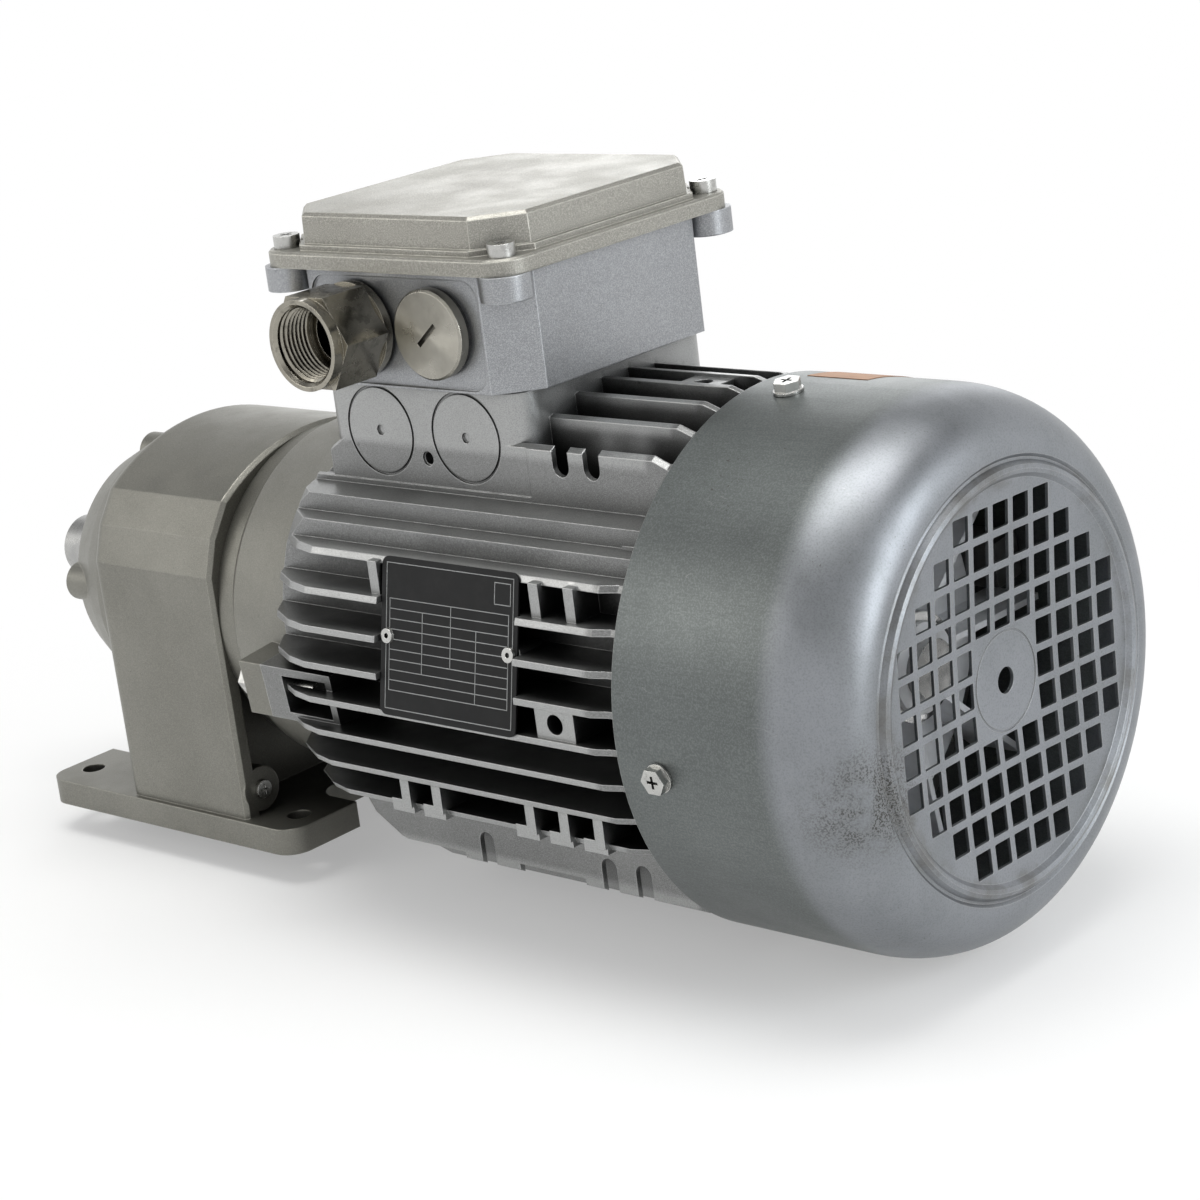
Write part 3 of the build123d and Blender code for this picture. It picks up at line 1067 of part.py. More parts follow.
shoulder_start = COVER_CREST - COVER_SHOULDER
shoulder_depth = COVER_RADIUS - COVER_CREST_RADIUS
inner_radius = COVER_RADIUS - COVER_SHEET
with BuildPart() as fan_cover:
    with BuildSketch(Plane(origin=(0, 0, SHAFT_HEIGHT), x_dir=(1, 0, 0), z_dir=(0, -1, 0))) as sheet:
        with BuildLine():
            Polyline((COVER_START, inner_radius), (COVER_START, COVER_RADIUS), (shoulder_start, COVER_RADIUS))
            EllipticalCenterArc((shoulder_start, COVER_CREST_RADIUS), COVER_SHOULDER, shoulder_depth,
                                start_angle=0, arc_size=90)
            Polyline(
                (COVER_CREST, COVER_CREST_RADIUS), (COVER_CREST - 0.9, BEAD_RADIUS + 3.4),
                (COVER_CREST - 0.6, BEAD_RADIUS + 2.6), (COVER_CREST + BEAD_HEIGHT - 0.5, BEAD_RADIUS + 1.3),
                (COVER_CREST + BEAD_HEIGHT, BEAD_RADIUS), (COVER_CREST + BEAD_HEIGHT - 0.5, BEAD_RADIUS - 1.3),
                (COVER_CREST - 0.3, BEAD_RADIUS - 2.8), (COVER_FACE, STAMP_RADIUS), (COVER_FACE, 0),
                (COVER_FACE - COVER_SHEET, 0), (COVER_FACE - COVER_SHEET, STAMP_RADIUS),
                (COVER_CREST - 0.3 - COVER_SHEET, BEAD_RADIUS - 2.8),
                (COVER_CREST - COVER_SHEET, COVER_CREST_RADIUS),
            )
            EllipticalCenterArc((shoulder_start, COVER_CREST_RADIUS), COVER_SHOULDER - COVER_SHEET,
                                shoulder_depth - COVER_SHEET, start_angle=0, arc_size=90)
            Line((shoulder_start, inner_radius), (COVER_START, inner_radius))
        make_face()
    revolve(sheet.sketch, axis=Axis((0, 0, SHAFT_HEIGHT), (1, 0, 0)))
    squares = [
        (GRILLE_PITCH * column, GRILLE_PITCH * row)
        for column in range(-5, 6) for row in range(-5, 6)
        if max(abs(column), abs(row)) > 1 and column ** 2 + row ** 2 < GRILLE_REACH ** 2
    ]
    grille_plane = Plane(
        origin=(COVER_CREST + 1, 0, SHAFT_HEIGHT), x_dir=(0, cos(GRILLE_TURN), -sin(GRILLE_TURN)), z_dir=(1, 0, 0),
    )
    with BuildSketch(grille_plane) as grille:
        with Locations(*squares):
            RectangleRounded(GRILLE_SQUARE, GRILLE_SQUARE, 0.5)
        Circle(STAMP_HOLE)
    extrude(grille.sketch, amount=COVER_FACE - COVER_CREST - COVER_SHEET - 2, mode=Mode.SUBTRACT)
    ring(COVER_FACE - 0.3, 1, STAMP_RADIUS - 0.4, STAMP_RADIUS + 0.4, mode=Mode.SUBTRACT)
    seats = [outward(COVER_SCREW_STATION, COVER_RADIUS + 1, angle) for angle in BOLT_ANGLES]
    with BuildSketch(*seats) as holes:
        Circle(COVER_SCREW_RADIUS + 0.2)
    extrude(holes.sketch, amount=-4, mode=Mode.SUBTRACT)
save(fan_cover, "fan_cover")

with BuildPart() as fan_cover_screws:
    seats = [outward(COVER_SCREW_STATION, COVER_RADIUS, angle) for angle in BOLT_ANGLES]
    hex_screws(seats, 8, 4, COVER_SCREW_RADIUS, 11)
    with BuildSketch(*seats) as washers:
        Circle(4.9)
    extrude(washers.sketch, amount=1)
    with BuildSketch(*[seat.offset(4) for seat in seats]) as crosses:
        Rectangle(4.4, 1)
        Rectangle(1, 4.4)
    extrude(crosses.sketch, amount=-1.8, mode=Mode.SUBTRACT)
save(fan_cover_screws, "fan_cover_screws")

with BuildPart() as cover_label:
    ring(COVER_START + 10, LABEL_LENGTH, COVER_RADIUS, COVER_RADIUS + 0.2)
    with BuildSketch(level(0, COVER_START + 10 + LABEL_LENGTH / 2)) as window:
        with Locations((0, 8 + LABEL_ARC / 2)):
            Rectangle(LABEL_LENGTH + 2, LABEL_ARC)
    extrude(window.sketch, amount=COVER_RADIUS + 2, mode=Mode.INTERSECT)
save(cover_label, "cover_label")
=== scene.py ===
"""Looks of the gear motor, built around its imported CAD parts, in metres in the row frame."""
import json
import math

import bmesh
import bpy
from mathutils import Matrix, Vector


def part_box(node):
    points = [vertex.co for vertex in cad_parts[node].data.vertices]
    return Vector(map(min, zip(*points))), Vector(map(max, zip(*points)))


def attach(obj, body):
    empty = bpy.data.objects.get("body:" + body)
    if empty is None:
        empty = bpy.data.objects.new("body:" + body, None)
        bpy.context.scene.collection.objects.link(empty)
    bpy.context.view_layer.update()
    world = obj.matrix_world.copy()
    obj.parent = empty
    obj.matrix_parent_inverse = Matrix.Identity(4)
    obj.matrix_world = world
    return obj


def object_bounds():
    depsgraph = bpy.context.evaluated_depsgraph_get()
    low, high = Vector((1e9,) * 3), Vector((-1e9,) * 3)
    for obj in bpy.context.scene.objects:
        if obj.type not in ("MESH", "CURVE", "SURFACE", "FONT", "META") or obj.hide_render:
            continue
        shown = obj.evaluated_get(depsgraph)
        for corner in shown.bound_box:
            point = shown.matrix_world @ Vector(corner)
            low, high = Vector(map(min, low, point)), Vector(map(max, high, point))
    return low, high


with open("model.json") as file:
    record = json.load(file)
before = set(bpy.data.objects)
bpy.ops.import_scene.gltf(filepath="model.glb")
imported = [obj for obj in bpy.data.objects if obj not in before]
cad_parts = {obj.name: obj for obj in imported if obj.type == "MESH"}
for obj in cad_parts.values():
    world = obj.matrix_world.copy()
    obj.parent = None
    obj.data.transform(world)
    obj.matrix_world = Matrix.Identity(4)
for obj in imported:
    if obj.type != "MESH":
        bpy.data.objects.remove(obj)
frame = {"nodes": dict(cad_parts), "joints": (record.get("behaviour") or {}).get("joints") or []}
cad_low, cad_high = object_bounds()
middle = (cad_low + cad_high) / 2


def box_middle(node):
    low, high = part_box(node)
    return (low + high) / 2


# Places on the object that the materials and the added pieces share
AXIS_HEIGHT = next(joint["pos_m"][2] for joint in frame["joints"] if joint["name"] == "rotor_spin")
cover_low, cover_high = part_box("fan_cover")
COVER_RADIUS = cover_high.z - AXIS_HEIGHT
BEAD_RADIUS = COVER_RADIUS - 0.0250
SHOULDER_START, SHOULDER_END = cover_high.x - 0.0318, cover_high.x - 0.0058
STAIN_PLACE = (cover_high.x - 0.0098, 0.0210 - COVER_RADIUS, AXIS_HEIGHT - 0.0135)
BLADE_STEP = cover_low.x - 0.0142
ADAPTER_MIDDLE = box_middle("conduit_adapter")
PLUG_MIDDLE = box_middle("blank_plug")
# The blade above the nameplate is chipped in three places
BLADE_CHIPS = tuple((x, -0.0800, 0.1295) for x in (0.1700, 0.2145, 0.2420))

# Sockets of the Mix node that hold colours, because their names repeat
MIX_FIRST, MIX_SECOND, MIX_RESULT = 6, 7, 2


# Node graphs
class Graph:
    """Short calls for building one material's nodes around its Principled shader."""

    def __init__(self, name, colour, metallic, roughness):
        self.material = bpy.data.materials.new(name)
        self.material.use_nodes = True
        self.nodes = self.material.node_tree.nodes
        self.links = self.material.node_tree.links
        self.shader = self.nodes["Principled BSDF"]
        self.shader.inputs["Base Color"].default_value = (*colour, 1)
        self.shader.inputs["Metallic"].default_value = metallic
        self.shader.inputs["Roughness"].default_value = roughness
        self.material.diffuse_color = (*colour, 1)
        self.object_space = self.add("ShaderNodeTexCoord").outputs["Object"]

    def add(self, kind, settings=None, **inputs):
        """Node with its settings and inputs. An underscore in an input's name stands for a space."""
        node = self.nodes.new(kind)
        for key, value in (settings or {}).items():
            setattr(node, key, value)
        for key, value in inputs.items():
            self.feed(node.inputs[key.replace("_", " ")], value)
        return node

    def feed(self, socket, value):
        """Link or set a socket, or leave it alone where the value is None."""
        if isinstance(value, bpy.types.NodeSocket):
            self.links.new(value, socket)
        elif value is not None:
            socket.default_value = value

    def maths(self, operation, first, second=None):
        node = self.add("ShaderNodeMath", {"operation": operation})
        self.feed(node.inputs[0], first)
        self.feed(node.inputs[1], second)
        return node.outputs[0]

    def vector_maths(self, operation, first, second=None):
        """A number for DISTANCE and DOT_PRODUCT, and a vector for the rest."""
        node = self.add("ShaderNodeVectorMath", {"operation": operation})
        self.feed(node.inputs[0], first)
        self.feed(node.inputs[1], second)
        return node.outputs["Value" if operation in ("DISTANCE", "DOT_PRODUCT") else "Vector"]

    def product(self, first, *others):
        for other in others:
            first = self.maths("MULTIPLY", first, other)
        return first

    def stretch(self, scale, space=None):
        """Coordinates with each axis scaled, so that a noise is finer along it."""
        return self.vector_maths("MULTIPLY", space or self.object_space, scale)

    def noise(self, scale, detail=3, roughness=0.55, space=None):
        return self.add("ShaderNodeTexNoise", Vector=space or self.object_space, Scale=scale,
                        Detail=detail, Roughness=roughness).outputs["Fac"]

    def ramp(self, value, low, high, out_low=0.0, out_high=1.0):
        """Smooth step from out_low, where the value is low, to out_high, where it is high."""
        node = self.add("ShaderNodeMapRange", {"interpolation_type": "SMOOTHSTEP"}, Value=value,
                        From_Min=low, From_Max=high, To_Min=out_low, To_Max=out_high)
        return node.outputs["Result"]

    def blend(self, amount, first, second):
        """The first colour where the amount is 0, and the second where it is 1."""
        node = self.add("ShaderNodeMix", {"data_type": "RGBA", "clamp_result": True}, Factor=amount)
        for place, colour in ((MIX_FIRST, first), (MIX_SECOND, second)):
            self.feed(node.inputs[place], (*colour, 1) if isinstance(colour, tuple) else colour)
        return node.outputs[MIX_RESULT]

    def axis_parts(self):
        """Sockets for X, the angle round the motor axis and the distance from it."""
        split = self.add("ShaderNodeSeparateXYZ", Vector=self.object_space)
        across = split.outputs["Y"]
        height = self.maths("SUBTRACT", split.outputs["Z"], AXIS_HEIGHT)
        squares = self.maths("ADD", self.product(height, height), self.product(across, across))
        return split.outputs["X"], self.maths("ARCTAN2", height, across), self.maths("SQRT", squares)

    def near(self, point, inner, outer):
        """1 within inner of a point, falling to 0 at outer."""
        return self.ramp(self.vector_maths("DISTANCE", self.object_space, point), inner, outer, 1.0, 0.0)

    def turned_about(self, centre):
        """Tangent along the turning marks of a flat face that looks along Y."""
        arm = self.vector_maths("SUBTRACT", self.object_space, centre)
        return self.vector_maths("NORMALIZE", self.vector_maths("CROSS_PRODUCT", arm, (0, 1, 0)))

    def soft_edges(self, radius, samples=6):
        """Normal with small rounded edges, and a mask of those edges."""
        rounded = self.add("ShaderNodeBevel", {"samples": samples}, Radius=radius).outputs["Normal"]
        flat = self.add("ShaderNodeNewGeometry").outputs["Normal"]
        return rounded, self.ramp(self.vector_maths("DOT_PRODUCT", rounded, flat), 0.93, 0.995, 1.0, 0.0)

    def gaps(self, distance, closed, open_wide, samples=6):
        """1 in gaps and corners, 0 in the open, by how much of the surroundings is seen."""
        seen = self.add("ShaderNodeAmbientOcclusion", {"samples": samples}, Distance=distance).outputs["AO"]
        return self.ramp(seen, closed, open_wide, 1.0, 0.0)

    def bump(self, height, strength, distance, normal=None):
        return self.add("ShaderNodeBump", Strength=strength, Distance=distance, Height=height,
                        Normal=normal).outputs["Normal"]

    def finish(self, colour, roughness=None, normal=None, tangent=None):
        """Feed the shader what varies over the surface, and return the material."""
        for name, value in (("Base Color", colour), ("Roughness", roughness), ("Normal", normal),
                            ("Tangent", tangent)):
            self.feed(self.shader.inputs[name], value)
        return self.material


def shade(tone, factor):
    """The tone made lighter or darker, kept within 1."""
    return tuple(min(1.0, part * factor) for part in tone)


# Materials
def cast(name, tone, metallic, roughness, grain=0.35, sparkle=0.35, edge=0.0006, edge_light=0.5, gap=0.012,
         gap_shade=0.5, bright_tips_from=None, chips=()):
    """Cast aluminium: calm tone with soft patches, very fine grain, edges brightened by wear and a painted
    highlight, painted shade in the gaps.
    """
    bare_metal = (0.86, 0.86, 0.84)
    g = Graph(name, tone, metallic, roughness)
    edges, edge_mask = g.soft_edges(edge)
    # Soft patches, and marks left by the flow of the metal
    colour = g.blend(g.ramp(g.noise(17, 4), 0.32, 0.68), tone, shade(tone, 0.86))
    flow = g.noise(8, 5, 0.62, g.stretch((1, 1, 2.8)))
    colour = g.blend(g.ramp(flow, 0.52, 0.74, 0, 0.30), colour, shade(tone, 0.68))
    # Light and dark grains of the skin
    grains = g.noise(2900, 2, 0.7)
    colour = g.blend(g.product(g.ramp(grains, 0.50, 0.64), sparkle), colour, shade(tone, 1.65))
    colour = g.blend(g.product(g.ramp(grains, 0.48, 0.36), sparkle), colour, shade(tone, 0.55))
    # Edges and blade tips brightened: partly metal rubbed bright, partly a painted highlight
    rubbed_and_highlit = g.product(edge_mask, g.ramp(g.noise(240, 3, 0.6), 0.35, 0.65, 0.45, 1.0), edge_light)
    colour = g.blend(rubbed_and_highlit, colour, shade(tone, 2.3))
    if bright_tips_from:
        along, _, radius = g.axis_parts()
        tips = g.product(g.ramp(along, BLADE_STEP, BLADE_STEP + 0.003, 1, 0),
                         g.ramp(radius, bright_tips_from, bright_tips_from + 0.003),
                         g.ramp(grains, 0.3, 0.6, 0.6, 1.0))
        colour = g.blend(g.product(tips, 0.55), colour, shade(tone, 2.2))
    # Pits and chips, and painted shade in the gaps
    pits = g.ramp(g.noise(430, 2, 0.5), 0.72, 0.77)
    colour = g.blend(g.product(pits, 0.35), colour, shade(tone, 0.35))
    for chip in chips:
        colour = g.blend(g.product(g.near(chip, 0.0008, 0.0030), 0.8), colour, bare_metal)
    colour = g.blend(g.product(g.gaps(gap, 0.12, 0.80), gap_shade), colour, shade(tone, 0.10))
    rough = g.ramp(g.noise(45, 4, 0.6), 0.3, 0.7, roughness - 0.05, roughness + 0.08)
    height = g.maths("ADD", g.product(g.noise(700, 3, 0.6), 0.7), g.product(grains, 0.6))
    return g.finish(colour, rough, g.bump(height, grain, 0.00009, edges))


def sheet_cover(name):
    """Satin sheet steel: drawn along the axis on the rim, turned round the shoulder, stained in use."""
    base, painted_sheen, edge_highlight_tone = (0.126, 0.137, 0.135), (0.275, 0.287, 0.310), (0.58, 0.58, 0.57)
    bead_grime, pool_stain, gap_shade_tone = (0.105, 0.095, 0.078), (0.120, 0.110, 0.092), (0.040, 0.038, 0.034)
    pool_speck, stray_speck, scratched = (0.040, 0.037, 0.032), (0.06, 0.055, 0.048), (0.50, 0.50, 0.49)
    g = Graph(name, base, 0.86, 0.37)
    along, angle, radius = g.axis_parts()
    wrap = g.add("ShaderNodeCombineXYZ", X=along, Y=g.product(angle, COVER_RADIUS), Z=radius).outputs[0]
    drawn = g.noise(62, 5, 0.7, g.stretch((1.0, 34, 1.0), wrap))
    turned = g.noise(60, 4, 0.7, g.stretch((26, 0.7, 26), wrap))
    colour = g.blend(g.ramp(g.noise(11, 4, 0.6), 0.32, 0.70), base, shade(base, 1.16))
    colour = g.blend(g.ramp(drawn, 0.42, 0.72, 0, 0.34), colour, shade(base, 0.66))
    # The shoulder painted lighter and cooler: a painted sheen
    shoulder = g.ramp(along, SHOULDER_START - 0.001, SHOULDER_START + 0.009)
    colour = g.blend(g.product(shoulder, g.ramp(g.noise(24, 4, 0.6), 0.3, 0.7, 0.62, 0.95)), colour, painted_sheen)
    # Light and dark grains of the coating
    grains = g.noise(1700, 2, 0.6)
    colour = g.blend(g.ramp(grains, 0.46, 0.64, 0, 0.20), colour, shade(base, 2.4))
    colour = g.blend(g.ramp(grains, 0.50, 0.34, 0, 0.20), colour, shade(base, 0.7))
    # Dried runs down the rim
    runs = g.ramp(g.noise(12, 4, 0.6, g.stretch((1.6, 1.6, 0.45))), 0.56, 0.72)
    colour = g.blend(g.product(runs, 0.30), colour, shade(base, 0.66))
    # Grime beside the bead
    beside_bead = g.product(g.ramp(radius, BEAD_RADIUS - 0.0070, BEAD_RADIUS - 0.0030),
                            g.ramp(radius, BEAD_RADIUS + 0.0015, BEAD_RADIUS + 0.0060, 1, 0),
                            g.ramp(along, SHOULDER_END - 0.001, SHOULDER_END + 0.002))
    patchy = g.ramp(g.noise(42, 4, 0.65), 0.40, 0.66)
    colour = g.blend(g.product(beside_bead, patchy, 0.55), colour, bead_grime)
    # Stain and specks where water stood on the lower shoulder, and a few specks elsewhere
    specks = g.ramp(g.noise(1500, 2, 0.6), 0.500, 0.570)
    pool = g.product(g.near(STAIN_PLACE, 0.006, 0.026), g.ramp(g.noise(90, 3, 0.6), 0.34, 0.56))
    colour = g.blend(g.product(pool, 0.22), colour, pool_stain)
    colour = g.blend(g.product(specks, pool, 0.90), colour, pool_speck)
    few = g.product(g.ramp(g.noise(760, 2, 0.7), 0.68, 0.71), g.ramp(g.noise(30, 2, 0.5), 0.50, 0.62))
    colour = g.blend(g.product(few, 0.6), colour, stray_speck)
    # Fine scratches, each a thin line of a stretched noise
    scratch_field = g.noise(34, 1, 0.5, g.stretch((0.9, 9, 0.9), wrap))
    line = g.ramp(g.maths("ABSOLUTE", g.maths("SUBTRACT", scratch_field, 0.5)), 0.0, 0.004, 1, 0)
    rare = g.ramp(g.noise(45, 2, 0.5), 0.59, 0.64)
    colour = g.blend(g.product(line, rare, 0.22), colour, scratched)
    # Painted highlight on the edges, and painted shade in the gaps
    edges, edge_mask = g.soft_edges(0.0004)
    colour = g.blend(g.product(edge_mask, 0.4), colour, edge_highlight_tone)
    # Painted shade: darker where little of the surroundings is seen
    colour = g.blend(g.product(g.gaps(0.010, 0.2, 0.8), 0.45), colour, gap_shade_tone)
    rough = g.ramp(g.noise(30, 4, 0.6), 0.3, 0.7, 0.38, 0.47)
    height = g.maths("ADD", g.product(drawn, 0.6), g.product(turned, 0.4))
    height = g.maths("ADD", height, g.product(g.noise(2200, 2, 0.6), 0.35))
    return g.finish(colour, rough, g.bump(height, 0.28, 0.00009, edges))


def machined(name, tone, roughness, stain, grain=0.25, marks=None, faced_about=None):
    """Plated or turned steel: clean tone with faint stains, tool marks, a painted highlight on the edges
    and painted shade in the gaps.
    """
    g = Graph(name, tone, 1.0, roughness)
    edges, edge_mask = g.soft_edges(0.0003, 4)
    colour = g.blend(g.ramp(g.noise(70, 4, 0.6), 0.35, 0.7), tone, shade(tone, 0.82))
    dull = g.ramp(g.noise(200, 4, 0.65), 0.52, 0.66)
    colour = g.blend(g.product(dull, stain), colour, shade(tone, 0.35))
    # Painted highlight on the edges
    colour = g.blend(g.product(edge_mask, 0.4), colour, shade(tone, 1.6))
    # Painted shade in gaps and sockets
    colour = g.blend(g.product(g.gaps(0.004, 0.25, 0.8, 4), 0.6), colour, shade(tone, 0.08))
    rough = g.ramp(g.noise(130, 3, 0.6), 0.3, 0.7, roughness - 0.05, roughness + 0.10)
    height = g.noise(900, 2, 0.6)
    if marks:
        height = g.maths("ADD", g.noise(400, 2, 0.6, g.stretch(marks)), g.product(height, 0.2))
    tangent = None
    if faced_about:
        # Turning marks run round the centre, so highlights fan out from it
        g.shader.inputs["Anisotropic"].default_value = 0.92
        tangent = g.turned_about(faced_about)
    return g.finish(colour, rough, g.bump(height, grain, 0.00006, edges), tangent)


def moulded(name, tone, roughness, grain=0.3, dust=0.25, dust_tone=(0.42, 0.41, 0.38)):
    """Moulded plastic, rubber or paint: fine skin texture with patches of dust, and a painted highlight
    making the edges paler.
    """
    g = Graph(name, tone, 0.0, roughness)
    edges, edge_mask = g.soft_edges(0.0004, 4)
    colour = g.blend(g.ramp(g.noise(55, 4, 0.6), 0.35, 0.7), tone, shade(tone, 0.80))
    colour = g.blend(g.product(g.ramp(g.noise(150, 4, 0.65), 0.45, 0.75), dust), colour, dust_tone)
    # Painted highlight: the edges paler
    pale_edge_highlight = tuple(min(1.0, part * 1.6 + 0.04) for part in tone)
    colour = g.blend(g.product(edge_mask, 0.18), colour, pale_edge_highlight)
    rough = g.ramp(g.noise(90, 3, 0.6), 0.3, 0.7, roughness - 0.06, roughness + 0.09)
    return g.finish(colour, rough, g.bump(g.noise(1500, 2, 0.6), grain, 0.00008, edges))


def laminated(name, tone):
    """Stack of thin stampings with a line at each sheet."""
    sheet_thickness, rust = 0.001, (0.20, 0.15, 0.11)
    g = Graph(name, tone, 0.8, 0.5)
    split = g.add("ShaderNodeSeparateXYZ", Vector=g.object_space)
    sheets = g.maths("SINE", g.product(split.outputs["X"], 2 * math.pi / sheet_thickness))
    colour = g.blend(g.ramp(sheets, 0.2, 0.9, 0, 0.5), tone, shade(tone, 0.5))
    colour = g.blend(g.ramp(g.noise(90, 4, 0.6), 0.5, 0.75, 0, 0.5), colour, rust)
    return g.finish(colour, normal=g.bump(sheets, 0.4, 0.0001))


def wound(name, tone):
    """Lacquered winding wire laid in bundles."""
    wire_pitch, slant, thick_lacquer = 0.0012, 0.6, (0.16, 0.07, 0.03)
    g = Graph(name, tone, 0.7, 0.32)
    along, _, radius = g.axis_parts()
    outwards = g.maths("ADD", radius, g.product(along, slant))
    wires = g.maths("SINE", g.product(outwards, 2 * math.pi / wire_pitch))
    colour = g.blend(g.ramp(wires, -0.6, 0.6), shade(tone, 0.45), tone)
    colour = g.blend(g.ramp(g.noise(120, 3, 0.6), 0.5, 0.75, 0, 0.4), colour, thick_lacquer)
    return g.finish(colour, normal=g.bump(wires, 0.6, 0.0003))


def paper(name, tone):
    """Plain sticker: matt printed paper with small worn spots."""
    worn = (0.24, 0.18, 0.13)
    g = Graph(name, tone, 0.0, 0.62)
    colour = g.blend(g.ramp(g.noise(120, 4, 0.65), 0.4, 0.7), tone, shade(tone, 0.78))
    colour = g.blend(g.ramp(g.noise(420, 3, 0.7), 0.58, 0.68, 0, 0.5), colour, worn)
    return g.finish(colour, normal=g.bump(g.noise(900, 3, 0.6), 0.3, 0.00008))


gear_cast = cast("gear_cast", (0.232, 0.228, 0.202), 0.80, 0.40, grain=0.40, sparkle=0.30, edge=0.0008,
                 edge_light=0.40, gap=0.040, gap_shade=0.75)
frame_cast = cast("frame_cast", (0.235, 0.238, 0.236), 0.88, 0.34, grain=0.55, sparkle=0.50, edge=0.0005,
                  edge_light=1.0, gap=0.022, gap_shade=0.95, bright_tips_from=0.0862, chips=BLADE_CHIPS)
box_cast = cast("box_cast", (0.355, 0.364, 0.377), 0.86, 0.37, grain=0.50, sparkle=0.45)
lid_cast = cast("lid_cast", (0.340, 0.332, 0.300), 0.80, 0.42, grain=0.75, sparkle=0.55, edge_light=0.8)
inner_cast = cast("inner_cast", (0.24, 0.24, 0.235), 0.6, 0.5, grain=0.5, sparkle=0.2, gap_shade=0.6)
cage_cast = cast("cage_cast", (0.45, 0.45, 0.44), 0.75, 0.45)
cover_steel = sheet_cover("cover_steel")
zinc_steel = machined("zinc_steel", (0.56, 0.56, 0.54), roughness=0.25, stain=0.30)
nickel_plate = machined("nickel_plate", (0.36, 0.34, 0.29), roughness=0.20, stain=0.55)
nickel_turned = machined("nickel_turned", (0.40, 0.385, 0.340), roughness=0.30, stain=0.12, grain=0.08,
                         faced_about=PLUG_MIDDLE)
race_steel = machined("race_steel", (0.62, 0.62, 0.61), roughness=0.12, stain=0.10)
shaft_steel = machined("shaft_steel", (0.46, 0.46, 0.45), roughness=0.22, stain=0.22, marks=(14, 1, 1))
brass_bar = machined("brass_bar", (0.60, 0.42, 0.18), roughness=0.25, stain=0.30)
clamp_steel = machined("clamp_steel", (0.74, 0.74, 0.73), roughness=0.10, stain=0.08)
core_stack = laminated("core_stack", (0.30, 0.31, 0.32))
winding_wire = wound("winding_wire", (0.62, 0.25, 0.09))
seal_rubber = moulded("seal_rubber_black", (0.022, 0.022, 0.023), 0.55, grain=0.4)
gasket_rubber = moulded("gasket_rubber", (0.030, 0.031, 0.031), 0.6, grain=0.4)
black_enamel = moulded("black_enamel", (0.0075, 0.0078, 0.0082), 0.42, grain=0.12, dust=0.04,
                       dust_tone=(0.10, 0.10, 0.095))
black_enamel.node_tree.nodes["Principled BSDF"].inputs["Specular IOR Level"].default_value = 0.22
plate_print = moulded("plate_print_grey", (0.40, 0.41, 0.41), 0.5, grain=0.1, dust=0.2,
                      dust_tone=(0.20, 0.20, 0.19))
block_plastic = moulded("block_plastic_brown", (0.10, 0.055, 0.035), 0.4)
fan_plastic = moulded("fan_plastic_grey", (0.84, 0.85, 0.87), 0.40, dust=0.20, dust_tone=(0.62, 0.61, 0.58))
sticker_paper = paper("sticker_paper", (0.36, 0.20, 0.115))

FINISH = {
    gear_cast: ["gear_housing", "drive_end_shield"],
    frame_cast: ["stator_frame"],
    box_cast: ["terminal_box"],
    lid_cast: ["terminal_box_lid"],
    inner_cast: ["fan_end_shield"],
    cover_steel: ["fan_cover"],
    zinc_steel: ["shield_bolts", "housing_bolts", "corner_screws", "box_screws", "lid_screws",
                 "terminal_block_screws", "fan_end_screws", "fan_cover_screws", "oil_plug",
                 "nameplate_rivets", "terminal_nuts", "earth_grub_screw"],
    nickel_plate: ["conduit_adapter"],
    nickel_turned: ["blank_plug"],
    race_steel: ["output_bearing_outers", "output_bearing_balls", "output_bearing_inners",
                 "countershaft_bearing_outers", "countershaft_bearing_balls",
                 "countershaft_bearing_inners", "rotor_bearing_outers", "rotor_bearing_balls",
                 "rotor_bearing_inners"],
    shaft_steel: ["rotor_shaft", "motor_pinion", "countershaft", "countershaft_gear", "output_shaft",
                  "output_gear"],
    cage_cast: ["rotor_cage_rings"],
    brass_bar: ["terminal_studs", "terminal_links"],
    clamp_steel: ["fan_clamp_ring"],
    core_stack: ["stator_core", "rotor_core"],
    winding_wire: ["stator_windings"],
    seal_rubber: ["output_seal", "motor_seal", "entry_seals"],
    gasket_rubber: ["base_gasket", "lid_gasket"],
    black_enamel: ["nameplate"],
    block_plastic: ["terminal_block"],
    fan_plastic: ["fan"],
    sticker_paper: ["cover_label"],
}
for material, names in FINISH.items():
    for name in names:
        for holder in frame["nodes"][name].material_slots:
            holder.material = material
missing = set(frame["nodes"]) - {name for names in FINISH.values() for name in names}
assert not missing, f"nodes without a material: {missing}"


# Camera at the photograph's viewing angle, solved on its 1200 pixel frame
AZIMUTH, ELEVATION, ROLL = (math.radians(degrees) for degrees in (44.506, 16.174, -7.491))
CAMERA_PLACE = (0.880748, -0.736442, 0.396250)
SHIFT_X, SHIFT_Y = 0.03943, -0.01837
FOCAL_PIXELS, PHOTO_SIDE = 3061.9, 1200
SENSOR_WIDTH = 36
CLIP_START, CLIP_END = 0.05, 50


